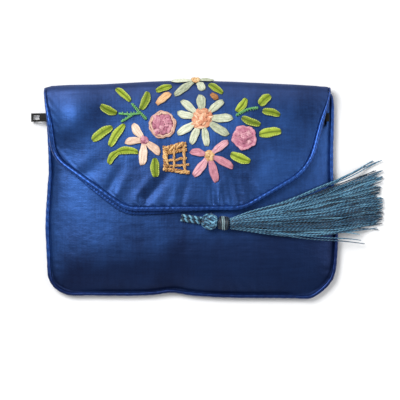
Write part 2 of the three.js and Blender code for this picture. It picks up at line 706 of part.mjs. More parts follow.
// Point on the flap at a length v up the cloth: past the fold's start it goes round to the back.
// lift is the height over the flap's underside, along the cloth's normal
function flapPoint(x, v, lift) {
  const start = foldStart(x);
  if (v <= start) {
    const dent = creaseDepth(FLAP_CREASES, x, v) * Math.min(lift / FLAP_THICKNESS, 1);
    return new THREE.Vector3(x, v, flapUnderside(x, v) + lift - dent);
  }
  const outer = (flapUnderside(x, start) + FLAP_THICKNESS) / 2;
  const angle = Math.min((v - start) / FOLD_DEPTH, Math.PI);
  const over = lift - FLAP_THICKNESS;
  const tail = Math.max(v - start - Math.PI * FOLD_DEPTH, 0);
  return new THREE.Vector3(
    x,
    start + (FOLD_DEPTH + over) * Math.sin(angle) - tail,
    outer + (outer + over) * Math.cos(angle),
  );
}

// Length up the cloth for a height seen from the front
function clothLength(x, y) {
  const start = foldStart(x);
  if (y <= start) {
    return y;
  }
  return start + FOLD_DEPTH * Math.asin(Math.min((y - start) / FOLD_DEPTH, 1));
}

// Outline with its corners rounded by curves
function roundedPath(corners) {
  const points = corners.map(({ across, up }) => new THREE.Vector2(across * HALF_WIDTH, up * HALF_HEIGHT));
  const path = new THREE.Path();
  path.moveTo(points[0].x, points[0].y);
  for (let i = 1; i + 1 < points.length; i += 1) {
    const into = points[i - 1].clone().sub(points[i]).normalize();
    const onward = points[i + 1].clone().sub(points[i]).normalize();
    const turn = Math.PI - Math.acos(into.dot(onward));
    const reach = corners[i].radius * Math.tan(turn / 2);
    const from = points[i].clone().addScaledVector(into, reach);
    const to = points[i].clone().addScaledVector(onward, reach);
    path.lineTo(from.x, from.y);
    path.quadraticCurveTo(points[i].x, points[i].y, to.x, to.y);
  }
  const end = points[points.length - 1];
  path.lineTo(end.x, end.y);
  return path;
}

const FLAP_EDGE = roundedPath(FLAP_CORNERS);
const edgeLengths = FLAP_EDGE.getCurveLengths();
const edgeShare = (curves) => edgeLengths[curves - 1] / FLAP_EDGE.getLength();
const BOTTOM_START = edgeShare(4); // after the lower left corner's curve
const BOTTOM_END = edgeShare(5); // where the lower right corner's curve begins

// Point of the flap's edge, moved in towards the panel
function edgePoint(share, inset) {
  const point = FLAP_EDGE.getPoint(share);
  const ahead = FLAP_EDGE.getPoint(Math.min(share + 0.004, 1));
  const behind = FLAP_EDGE.getPoint(Math.max(share - 0.004, 0));
  const along = ahead.sub(behind).normalize();
  return point.add(new THREE.Vector2(-along.y, along.x).multiplyScalar(inset));
}

function flap() {
  const inset = FLAP_PIPING + 2 * GAP;
  const bottomShare = FLAP_ROWS / (FLAP_ROWS + FOLD_ROWS + 2);
  const foldShare = (FLAP_ROWS + FOLD_ROWS) / (FLAP_ROWS + FOLD_ROWS + 2);
  const place = (across, along) => {
    const down = Math.max(1 - along / bottomShare, 0);
    const left = edgePoint(down * BOTTOM_START, inset);
    const right = edgePoint(1 - down * (1 - BOTTOM_END), inset);
    const onFront = left.lerp(right, across);
    const bow = foldStart(onFront.x) - THREE.MathUtils.lerp(foldStart(left.x), foldStart(right.x), across);
    const start = foldStart(onFront.x);
    if (along <= bottomShare) {
      const top = THREE.MathUtils.smoothstep(1 - down, 0, 1);
      return [onFront.x, THREE.MathUtils.lerp(onFront.y + bow * (1 - down), start, top ** 4)];
    }
    const round = Math.min((along - bottomShare) / (foldShare - bottomShare), 1);
    const tail = Math.max((along - foldShare) / (1 - foldShare), 0);
    return [onFront.x, start + round * Math.PI * FOLD_DEPTH + tail * FLAP_TAIL + 1e-6];
  };
  const surface = (lift) => (across, along) => {
    const [x, v] = place(across, along);
    return flapPoint(x, v, lift);
  };
  return sheetSolid(surface(FLAP_THICKNESS), surface(0), FLAP_COLUMNS, FLAP_ROWS + FOLD_ROWS + 2);
}

// Round cord along a line of points
function cordAlong(points, diameter, sides, steps) {
  const section = new THREE.Shape();
  for (let side = 0; side < sides; side += 1) {
    const angle = (2 * Math.PI * side) / sides;
    const corner = [Math.cos(angle) * (diameter / 2), Math.sin(angle) * (diameter / 2)];
    if (side === 0) {
      section.moveTo(...corner);
    } else {
      section.lineTo(...corner);
    }
  }
  section.closePath();
  const curve = new THREE.CatmullRomCurve3(points, false, 'centripetal');
  return new THREE.ExtrudeGeometry(section, { steps, bevelEnabled: false, extrudePath: curve });
}

// Piping down the left side, along the bottom and up the right side
function bodyPiping() {
  const inset = BODY_PIPING / 2;
  const top = 0.945;
  const points = [];
  const add = (across, up) => {
    const { x, y } = pocketPlace(across, up, inset, inset, POCKET_TOP_MARGIN);
    points.push(new THREE.Vector3(x, y, SEAM_HEIGHT));
  };
  const stations = SIDE_RUN.map((row) => row.up).filter((up) => up < top);
  [top, ...stations.toReversed()].forEach((up) => add(0, up));
  for (let step = 1; step < 12; step += 1) {
    add(step / 12, 0);
  }
  [...stations, top].forEach((up) => add(1, up));
  return cordAlong(points, BODY_PIPING, CORD_SIDES, BODY_PIPING_STEPS);
}

// Piping on the flap's edge, tucked in behind the crest of the fold at both ends
function flapPiping() {
  const radius = FLAP_PIPING / 2;
  const lift = radius + GAP - LOOSE_GAP;
  const points = [];
  const roundFold = (share, angle) => {
    const { x } = edgePoint(share, radius);
    const outer = (flapUnderside(x, foldStart(x)) + FLAP_THICKNESS) / 2;
    const y = foldStart(x) + (FOLD_DEPTH - radius / 2) * Math.sin(angle);
    points.push(new THREE.Vector3(x, y, outer + (outer + lift - radius) * Math.cos(angle)));
  };
  const angles = [1.75, 1.3, 0.85, 0.4];
  angles.forEach((angle) => roundFold(0, angle));
  const steps = 44;
  for (let step = 1; step < steps; step += 1) {
    const { x, y } = edgePoint(step / steps, radius);
    points.push(new THREE.Vector3(x, y, flapUnderside(x, y) + lift));
  }
  angles.toReversed().forEach((angle) => roundFold(1, angle));
  return cordAlong(points, FLAP_PIPING, CORD_SIDES, FLAP_PIPING_STEPS);
}

// The turned edge that lies under the piping and shows below it
function flapFacing() {
  const first = FACING_RUN[0].along;
  const last = FACING_RUN[FACING_RUN.length - 1].along;
  const surface = (base) => (across, along) => {
    const share = THREE.MathUtils.lerp(first, last, along);
    const reach = runAt(FACING_RUN, 'along', 'reach', share) * FACING_OVERHANG;
    const { x, y } = edgePoint(share, THREE.MathUtils.lerp(FACING_INSET, -reach, across));
    return new THREE.Vector3(x, y, restHeight(x, y) + LOOSE_GAP + base);
  };
  return sheetSolid(surface(FACING_THICKNESS), surface(0), 1, 34);
}

// Plain disc between the front panel and the flap
const SNAP_HEIGHT = FLAP_CLEARANCE + SNAP_LIFT.rise - 2 * LOOSE_GAP;

function flapSnap() {
  const disc = new THREE.CylinderGeometry(SNAP_DIAMETER / 2, SNAP_DIAMETER / 2, SNAP_HEIGHT, 16);
  disc.rotateX(Math.PI / 2);
  return disc;
}

// Ring of points round a place on the front, in the plane across a heading
function crossRing(centre, heading, halfWidth, halfHeight, sides) {
  const sideways = new THREE.Vector3(-heading.y, heading.x, 0).normalize();
  const ring = [];
  for (let side = 0; side < sides; side += 1) {
    const angle = (2 * Math.PI * side) / sides;
    const point = centre.clone().addScaledVector(sideways, Math.cos(angle) * halfWidth);
    point.z += Math.sin(angle) * halfHeight;
    ring.push(point);
  }
  return ring;
}

const onFront = (x, y, rise) => new THREE.Vector3(x, y, frontHeight(x, y) + rise);

// Place on the tassel's axis at a distance from its neck, a rise over the front panel
const tasselAngle = THREE.MathUtils.degToRad(TASSEL_HEADING);
const alongTassel = (distance, rise) => onFront(
  TASSEL_NECK.across * HALF_WIDTH + distance * Math.cos(tasselAngle),
  TASSEL_NECK.up * HALF_HEIGHT + distance * Math.sin(tasselAngle),
  rise,
);

function tasselLoop() {
  const rise = GAP + TASSEL_LOOP.height / 2;
  const from = onFront(TASSEL_ROOT.across * HALF_WIDTH, TASSEL_ROOT.up * HALF_HEIGHT, rise);
  const to = alongTassel(0, rise + GAP);
  const heading = to.clone().sub(from);
  const rings = [];
  for (let step = 0; step <= 4; step += 1) {
    const centre = from.clone().lerp(to, step / 4);
    rings.push(crossRing(centre, heading, TASSEL_LOOP.width / 2, TASSEL_LOOP.height / 2, 8));
  }
  return loftSolid(rings);
}

// Turned form along +X with its middle at the origin: rows are share of the length and of the radius
function turned(profile, length, diameter, flatness) {
  const points = profile.map(([along, radius]) => new THREE.Vector2((radius * diameter) / 2, along * length));
  const form = new THREE.LatheGeometry(points, 12);
  form.rotateZ(-Math.PI / 2);
  form.scale(1, 1, flatness);
  return form;
}

const TASSEL_FLATNESS = 0.86;

function tasselHead() {
  const profile = [[-0.5, 0], [-0.46, 0.45], [-0.25, 0.9], [0.0, 1], [0.25, 0.9], [0.5, 0.62], [0.5, 0]];
  return turned(profile, TASSEL_HEAD.length, TASSEL_HEAD.diameter, TASSEL_FLATNESS);
}

function tasselWrap() {
  const profile = [[-0.5, 0], [-0.5, 0.78], [-0.3, 1], [0.3, 1], [0.5, 0.84], [0.5, 0]];
  return turned(profile, TASSEL_WRAP.length, TASSEL_WRAP.diameter, TASSEL_FLATNESS);
}

// One lock of the skirt: side runs from -1 at the lower edge of the fan to 1 at its upper edge
function skirtLock(side) {
  const start = alongTassel(TASSEL_HEAD.length + TASSEL_WRAP.length + 3 * GAP + LOOSE_GAP, 0);
  const steps = LOCK_STEPS;
  const centres = [];
  for (let step = 0; step <= steps; step += 1) {
    const along = step / steps;
    const spread = runAt(SKIRT_RUN, 'along', 'spread', along) * SKIRT_SPREAD;
    const drift = runAt(SKIRT_RUN, 'along', 'drift', along) * SKIRT_SPREAD;
    const x = start.x + along * SKIRT_LENGTH * (1 - 0.02 * side * side);
    const y = start.y + drift + side * spread * (1 - 0.6 / SKIRT_LOCKS);
    const height = (runAt(SKIRT_RUN, 'along', 'thickness', along) * SKIRT_THICKNESS) / 2;
    const edge = rightSide((y + HALF_HEIGHT) / PURSE_HEIGHT) + SKIRT_DROOP_START;
    const fall = 1 - THREE.MathUtils.smoothstep(x, edge, edge + SKIRT_DROOP_LENGTH);
    const base = (softMax(frontHeight(x, y), PIPING_TOP, 1) + LOOSE_GAP) * fall;
    const half = (spread / SKIRT_LOCKS) * (1.45 - 0.55 * along ** 3);
    centres.push({ point: new THREE.Vector3(x, y, base + height), half, height });
  }
  const rings = centres.map(({ point, half, height }, index) => {
    const before = centres[Math.max(index - 1, 0)].point;
    const after = centres[Math.min(index + 1, steps)].point;
    return crossRing(point, after.clone().sub(before), half, height, 6);
  });
  return loftSolid(rings);
}

function tasselSkirt() {
  const locks = [];
  for (let lock = 0; lock < SKIRT_LOCKS; lock += 1) {
    locks.push(skirtLock((2 * lock) / (SKIRT_LOCKS - 1) - 1));
  }
  return fused(locks);
}

// A place on the flap in photo terms, as millimetres across and length up the cloth
const onFlap = (across, up) => {
  const x = across * HALF_WIDTH;
  return new THREE.Vector2(x, clothLength(x, up * HALF_HEIGHT));
};
const RIBBON_BASE = FLAP_THICKNESS + GAP;

// Raised strip on the flap between two places: fullness gives its width along the run
function stitch(from, to, width, height, fullness, columns, steps) {
  const along = to.clone().sub(from);
  const sideways = new THREE.Vector2(-along.y, along.x).normalize();
  const surface = (lift) => (across, share) => {
    const offset = (across - 0.5) * width * fullness(share);
    const place = from.clone().addScaledVector(along, share).addScaledVector(sideways, offset);
    return flapPoint(place.x, place.y, RIBBON_BASE + lift(across));
  };
  const dome = (across) => height * (columns === 1 || across === 0.5 ? 1 : 0.45);
  return sheetSolid(surface(dome), surface(() => 0), columns, steps);
}

const leafForm = (share) => 0.3 + 0.7 * Math.sin(Math.PI * share) ** 0.7;
const petalForm = (share) => 0.35 + 0.65 * Math.sin(Math.PI * Math.min(share * 0.92, 1)) ** 0.8;
const threadForm = () => 1;

function leaf({ across, up, toAcross, toUp, width }) {
  return stitch(onFlap(across, up), onFlap(toAcross, toUp), width, RIBBON_THICKNESS, leafForm, 2, 4);
}

// Round raised knot on the flap
function knot(centre, radius, height, sides, lobes) {
  const bend = centre.y > foldStart(centre.x) ? radius ** 2 / (2 * FOLD_DEPTH) : 0;
  const tiers = [[1, 0], [1, 0.45], [0.82, 0.8], [0.45, 1]];
  const rings = tiers.map(([reach, rise], tier) => {
    const ring = [];
    for (let side = 0; side < sides; side += 1) {
      const angle = (2 * Math.PI * side) / sides;
      const wave = 1 + (lobes > 0 ? 0.06 * Math.cos(lobes * angle + tier) : 0);
      const x = centre.x + Math.cos(angle) * radius * reach * wave;
      const v = centre.y + Math.sin(angle) * radius * reach * wave;
      ring.push(flapPoint(x, v, RIBBON_BASE + bend + rise * height));
    }
    return ring;
  });
  return loftSolid(rings);
}

function flower({ across, up, radius, petals }) {
  const centre = onFlap(across, up);
  const parts = [knot(centre, radius, RIBBON_THICKNESS * 1.7, 12, 0)];
  const steps = centre.y > foldStart(centre.x) ? 6 : 3;
  for (const petal of petals) {
    const tip = onFlap(petal.across, petal.up);
    const root = centre.clone().lerp(tip, Math.min((radius * 0.55) / tip.distanceTo(centre), 0.5));
    parts.push(stitch(root, tip, petal.width, RIBBON_THICKNESS, petalForm, 2, steps));
  }
  return fused(parts);
}

function rose({ across, up, radius, height, lobes }) {
  return knot(onFlap(across, up), radius, height, 18, lobes);
}

function threads(runs, width) {
  return fused(runs.map(({ across, up, toAcross, toUp }) =>
    stitch(onFlap(across, up), onFlap(toAcross, toUp), width, THREAD_THICKNESS, threadForm, 1, 2)));
}

// The purse as a scene
const purse = new THREE.Group();

function place(group, name, geometry, material) {
  const mesh = new THREE.Mesh(geometry, material);
  mesh.name = name;
  group.add(mesh);
  return mesh;
}

const body = new THREE.Group();
purse.add(body);
place(body, 'pouch_shell', pouchShell(), SATIN);
place(body, 'body_piping', bodyPiping(), SATIN_EDGE);

const cover = new THREE.Group();
purse.add(cover);
place(cover, 'flap', flap(), SATIN);
place(cover, 'flap_piping', flapPiping(), SATIN_EDGE);
place(cover, 'flap_facing', flapFacing(), SATIN_EDGE);
const snap = place(cover, 'flap_snap', flapSnap(), SNAP_METAL);
snap.position.copy(onFront(...SNAP_CENTRE, GAP + SNAP_HEIGHT / 2));

// The slider leans with the panel below it and the pull rests on the side piping
const zip = new THREE.Group();
purse.add(zip);
place(zip, 'zip_tape', zipTape(), TAPE);
const stop = place(zip, 'zip_end_stop', zipEndStop(), BLACK_METAL);
const stopX = ZIP_END + GAP + ZIP_END_STOP.length / 2;
stop.position.set(stopX, ZIP_HEIGHT, 0);
stop.position.z = frontHeight(stopX - ZIP_END_STOP.length / 2, ZIP_HEIGHT) + GAP + ZIP_END_STOP.height / 2;
const rear = frontHeight(SLIDER_X - SLIDER.length / 2, ZIP_HEIGHT);
const fore = frontHeight(SLIDER_X + SLIDER.length / 2, ZIP_HEIGHT);
const sliderLean = Math.atan2(fore - rear, SLIDER.length);
const carriage = new THREE.Group();
carriage.position.copy(onFront(SLIDER_X, ZIP_HEIGHT, ZIP_TEETH_RISE + GAP));
carriage.rotation.y = -sliderLean;
zip.add(carriage);
place(carriage, 'zip_slider', zipSlider(), BLACK_METAL);

const hinge = new THREE.Vector3(0, 0, SLIDER.height + (BRIDGE.rise - BRIDGE.bar) / 2);
hinge.x = -BRIDGE.setback - BRIDGE.length / 2 + BRIDGE.bar + PULL_BAR;
carriage.updateMatrixWorld(true);
hinge.applyMatrix4(carriage.matrixWorld);
const toPiping = new THREE.Vector2(hinge.x - leftSide(ZIP_UP) - BODY_PIPING / 2, hinge.z - SEAM_HEIGHT);
const pullStandoff = BODY_PIPING / 2 + LOOSE_GAP + PULL_THICKNESS / 2;
const pullLean = toPiping.angle() - Math.asin(pullStandoff / toPiping.length());
const pull = place(zip, 'zip_pull', zipPull(), BLACK_METAL);
pull.position.copy(hinge);
pull.rotation.y = -pullLean;

// The tassel lies on the front, its skirt over the right side and down to the surface
const tassel = new THREE.Group();
purse.add(tassel);
place(tassel, 'tassel_loop', tasselLoop(), TASSEL_SILK);
const head = place(tassel, 'tassel_head', tasselHead(), TASSEL_SILK);
const headRise = LOOSE_GAP + (TASSEL_HEAD.diameter / 2) * TASSEL_FLATNESS;
head.position.copy(alongTassel(GAP + TASSEL_HEAD.length / 2, headRise));
head.rotation.z = tasselAngle;
const wrap = place(tassel, 'tassel_wrap', tasselWrap(), TASSEL_DARK);
const wrapRise = LOOSE_GAP + (TASSEL_WRAP.diameter / 2) * TASSEL_FLATNESS;
wrap.position.copy(alongTassel(2 * GAP + TASSEL_HEAD.length + TASSEL_WRAP.length / 2, wrapRise));
wrap.rotation.z = tasselAngle;
place(tassel, 'tassel_skirt', tasselSkirt(), TASSEL_SILK);

const embroidery = new THREE.Group();
purse.add(embroidery);
[...LEAVES, LEAF_ARM].forEach((row) => place(embroidery, row.name, leaf(row), LEAF_RIBBON));
LOOSE_PETALS.forEach((row) => place(embroidery, row.name, leaf(row), finish(row.color, 0.6)));
FLOWERS.forEach((row) => place(embroidery, row.name, flower(row), finish(row.color, 0.6)));
ROSES.forEach((row) => place(embroidery, row.name, rose(row), finish(row.color, 0.6)));
place(embroidery, 'stem_left', threads(STEM_LEFT, THREAD_WIDTH), STEM_THREAD);
place(embroidery, 'stem_right', threads(STEM_RIGHT, THREAD_WIDTH), STEM_THREAD);
place(embroidery, 'basket', threads(BASKET, THREAD_WIDTH), GOLD_THREAD);

export default purse;
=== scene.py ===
"""Looks of an embroidered satin purse that lies closed on its back.

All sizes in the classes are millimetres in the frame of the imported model: +X across the front,
+Y towards the top fold, +Z up. Meshes are written in metres.
"""

from __future__ import annotations

import logging
import math
import random
from dataclasses import dataclass, field
from enum import Enum
from typing import Callable, Sequence

import bmesh
import bpy
from mathutils import Matrix, Vector, noise

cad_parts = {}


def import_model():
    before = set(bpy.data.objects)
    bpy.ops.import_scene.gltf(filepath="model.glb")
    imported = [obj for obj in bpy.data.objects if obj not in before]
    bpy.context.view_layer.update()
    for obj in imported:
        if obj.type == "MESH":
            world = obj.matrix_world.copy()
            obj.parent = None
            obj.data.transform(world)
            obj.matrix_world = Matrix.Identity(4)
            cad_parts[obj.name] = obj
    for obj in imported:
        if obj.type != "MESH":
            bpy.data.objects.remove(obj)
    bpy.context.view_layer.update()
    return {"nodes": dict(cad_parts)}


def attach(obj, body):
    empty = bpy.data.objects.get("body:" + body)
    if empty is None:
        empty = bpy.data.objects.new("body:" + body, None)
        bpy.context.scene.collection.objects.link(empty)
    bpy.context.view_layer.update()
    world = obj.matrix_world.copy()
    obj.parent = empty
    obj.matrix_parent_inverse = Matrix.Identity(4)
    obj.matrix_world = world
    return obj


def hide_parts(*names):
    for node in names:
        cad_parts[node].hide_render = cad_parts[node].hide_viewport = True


MM = 0.001
PURSE = "purse"
LOG = logging.getLogger("purse")
# Range of a random phase, in radians.
ROUND = 6.28
# Distances within which a mesh is merged, in metres.
WELD_REACH = 2e-7
FLAT_EDGE = 1e-8
# Thickness of flat and of gathered ribbon, in millimetres.
RIBBON_WALL = 0.22
GATHER_WALL = 0.2

Place = Callable[[float, float], Vector]
Rows = Sequence[tuple[float, ...]]


def smooth_step(value: float, low: float, high: float) -> float:
    """Ease from 0 at low to 1 at high.

    Args:
        value: Where to read the ease.
        low: Start of the ease.
        high: End of the ease.

    Returns:
        A share from 0 to 1.
    """
    share = min(max((value - low) / (high - low), 0.0), 1.0)
    return share * share * (3 - 2 * share)


def soft_max(a: float, b: float, blend: float) -> float:
    """The larger of two values with a rounded change-over of width blend."""
    return (a + b + math.hypot(a - b, blend)) / 2


def run_at(rows: Rows, column: int, at: float) -> float:
    """Smooth run through the rows of a table.

    Args:
        rows: Rows whose first value is the place along the run.
        column: Which value of a row to read.
        at: The place.

    Returns:
        The column's value there.
    """
    last = len(rows) - 1
    place = min(max(at, rows[0][0]), rows[last][0])
    index = 0
    while index < last - 1 and place > rows[index + 1][0]:
        index += 1

    def slope(row: int) -> float:
        """Slope of the run at a row."""
        before, after = rows[max(row - 1, 0)], rows[min(row + 1, last)]
        return (after[column] - before[column]) / (after[0] - before[0])

    start, end = rows[index], rows[index + 1]
    span = end[0] - start[0]
    share = (place - start[0]) / span
    square, cube = share**2, share**3
    return (
        (2 * cube - 3 * square + 1) * start[column]
        + (cube - 2 * square + share) * span * slope(index)
        + (3 * square - 2 * cube) * end[column]
        + (cube - square) * span * slope(index + 1)
    )


def ripple(x: float, y: float, scale: float, seed: float) -> float:
    """Soft noise from about -1 to 1 over a surface, with its grain in millimetres."""
    return noise.noise(Vector((x / scale, y / scale, seed)))


@dataclass(frozen=True)
class Crease:
    """A fold drawn into cloth from a seam: a dent and a ridge beside it, fading along its run."""

    x: float
    y: float
    to_x: float
    to_y: float
    spread: float
    depth: float
    ridge: float = 1.7

    def at(self, x: float, y: float) -> float:
        """Depth of the dent at a place.

        Args:
            x: Place across, in millimetres.
            y: Place up the purse, in millimetres.

        Returns:
            The depth in millimetres, below 0 on the ridge.
        """
        start, place = Vector((self.x, self.y)), Vector((x, y))
        run = Vector((self.to_x, self.to_y)) - start
        share = min(max((place - start).dot(run) / run.length_squared, 0.0), 1.0)
        away = place - start - run * share
        swell = math.copysign(away.length, run.cross(away)) - self.ridge * self.spread
        dent = math.exp(-((away.length / self.spread) ** 2))
        dent -= 0.6 * math.exp(-((swell / self.spread) ** 2))
        return self.depth * dent * (1 - 0.8 * share**1.5)


@dataclass(frozen=True)
class PurseForm:
    """The filled pocket and the flap over it, as heights over the surface they lie on."""

    half_width: float = 78.5
    half_height: float = 58.0
    fill: float = 13.0
    seam: float = 3.4
    piping: float = 2.2
    margin: float = 2.5
    top_margin: float = 2.0
    recess: float = 0.898
    zip_y: float = 38.7
    zip_start: float = -69.4
    zip_end: float = 71.4
    side_rows: Rows = (
        (0.0, 0.84, 0.82), (0.03, 0.925, 0.893), (0.07, 0.963, 0.949), (0.11, 0.973, 0.978),
        (0.19, 0.978, 0.995), (0.34, 0.986, 1.0), (0.52, 0.972, 0.978), (0.6, 0.964, 0.969),
        (0.73, 0.969, 0.969), (0.86, 0.98, 0.973), (0.96, 0.988, 0.97), (1.0, 0.955, 0.93),
    )
    bottom_rows: Rows = (
        (-1.0, -0.962), (-0.46, -0.972), (-0.27, -0.966), (-0.11, -0.943), (0.0, -0.968),
        (0.23, -0.988), (0.64, -0.994), (1.0, -1.0),
    )
    top_rows: Rows = (
        (-1.0, 0.935), (-0.94, 0.958), (-0.6, 0.972), (-0.2, 0.998), (0.16, 0.998),
        (0.5, 0.98), (0.92, 0.95), (1.0, 0.925),
    )
    section_rows: Rows = (
        (0.0, 0.26, 0.26), (0.015, 0.4, 0.13), (0.04, 0.56, 0.04), (0.08, 0.74, 0.0),
        (0.15, 0.9, 0.0), (0.25, 0.98, 0.0), (0.36, 1.0, 0.0), (0.47, 1.0, 0.0),
        (0.58, 0.97, 0.0), (0.68, 0.9, 0.0), (0.77, 0.8, 0.0), (0.84, 0.71, 0.0),
        (0.93, 0.66, 0.0), (0.97, 0.61, 0.14), (0.987, 0.53, 0.22), (1.0, 0.35, 0.35),
    )
    creases: tuple[Crease, ...] = (
        Crease(-8.6, -54.5, -4.7, -34.8, 6, 1.0),
        Crease(11.8, -53.4, 7.1, -31.9, 7, 0.8),
        Crease(33.0, -55.1, 31.4, -43.5, 6, 0.6),
    )

    def left(self, up: float) -> float:
        """Left side's x at a share of the height."""
        return -run_at(self.side_rows, 1, up) * self.half_width

    def right(self, up: float) -> float:
        """Right side's x at a share of the height."""
        return run_at(self.side_rows, 2, up) * self.half_width

    def bottom(self, x: float) -> float:
        """Bottom edge's y."""
        return run_at(self.bottom_rows, 1, x / self.half_width) * self.half_height

    def top(self, x: float) -> float:
        """Top fold's y."""
        return run_at(self.top_rows, 1, x / self.half_width) * self.half_height

    def place(self, across: float, up: float, side: float, bottom: float, top: float) -> Vector:
        """Place inside the purse's outline.

        Args:
            across: Share from the left side to the right side.
            up: Share from the bottom edge to the top fold.
            side: Margin kept from the sides.
            bottom: Margin kept from the bottom.
            top: Margin kept from the fold.

        Returns:
            The place as a flat vector.
        """
        start, end = self.left(up) + side, self.right(up) - side
        x = start + (end - start) * across
        low, high = self.bottom(x) + bottom, self.top(x) - top
        return Vector((x, low + (high - low) * up))

    def seam_height(self, up: float) -> float:
        """Height of the seam round the pocket, which climbs at the very top."""
        crest = self.section_rows[-1][1] * self.fill
        return self.seam + (crest - self.seam) * smooth_step(up, 0.93, 1.0)

    def front_face(self, u: float, up: float) -> float:
        """Height of the front at u from -1 to 1 across and up from 0 to 1.

        Args:
            u: Place across, from -1 at the left seam to 1 at the right.
            up: Share from the bottom edge to the top fold.

        Returns:
            The height in millimetres.
        """
        crown = run_at(self.section_rows, 1, up) * self.fill
        seam = self.seam_height(up)
        bulge = max(1 - min(abs(u), 1.0) ** 3.2, 0.0) ** 0.6
        return seam + (crown - seam) * bulge

    def back_face(self, u: float, up: float) -> float:
        """Height of the back at u from -1 to 1 across and up from 0 to 1.

        Args:
            u: Place across, from -1 at the left seam to 1 at the right.
            up: Share from the bottom edge to the top fold.

        Returns:
            The height in millimetres.
        """
        table = max(run_at(self.section_rows, 2, up), 0.0) * self.fill
        step = smooth_step(up, self.recess - 0.012, self.recess)
        low = table if up < 0.5 else self.top_margin * step
        flat = max(low, table if up >= self.recess else 0.0)
        rise = max(abs(u) - 0.86, 0.0) / 0.14
        return flat + (self.seam_height(up) - flat) * rise**2

    def front_height(self, x: float, y: float) -> float:
        """Height of the front panel over the surface.

        Args:
            x: Place across, in millimetres.
            y: Place up the purse, in millimetres.

        Returns:
            The height in millimetres.
        """
        low, high = self.bottom(x) + self.margin, self.top(x) - self.top_margin
        up = min(max((y - low) / (high - low), 0.0), 1.0)
        start, end = self.left(up) + self.margin, self.right(up) - self.margin
        u = 2 * (x - start) / (end - start) - 1
        fade = (1 - min(abs(u), 1.0) ** 2) * min(up * 8, 1.0)
        return self.front_face(u, up) - fade * sum(crease.at(x, y) for crease in self.creases)


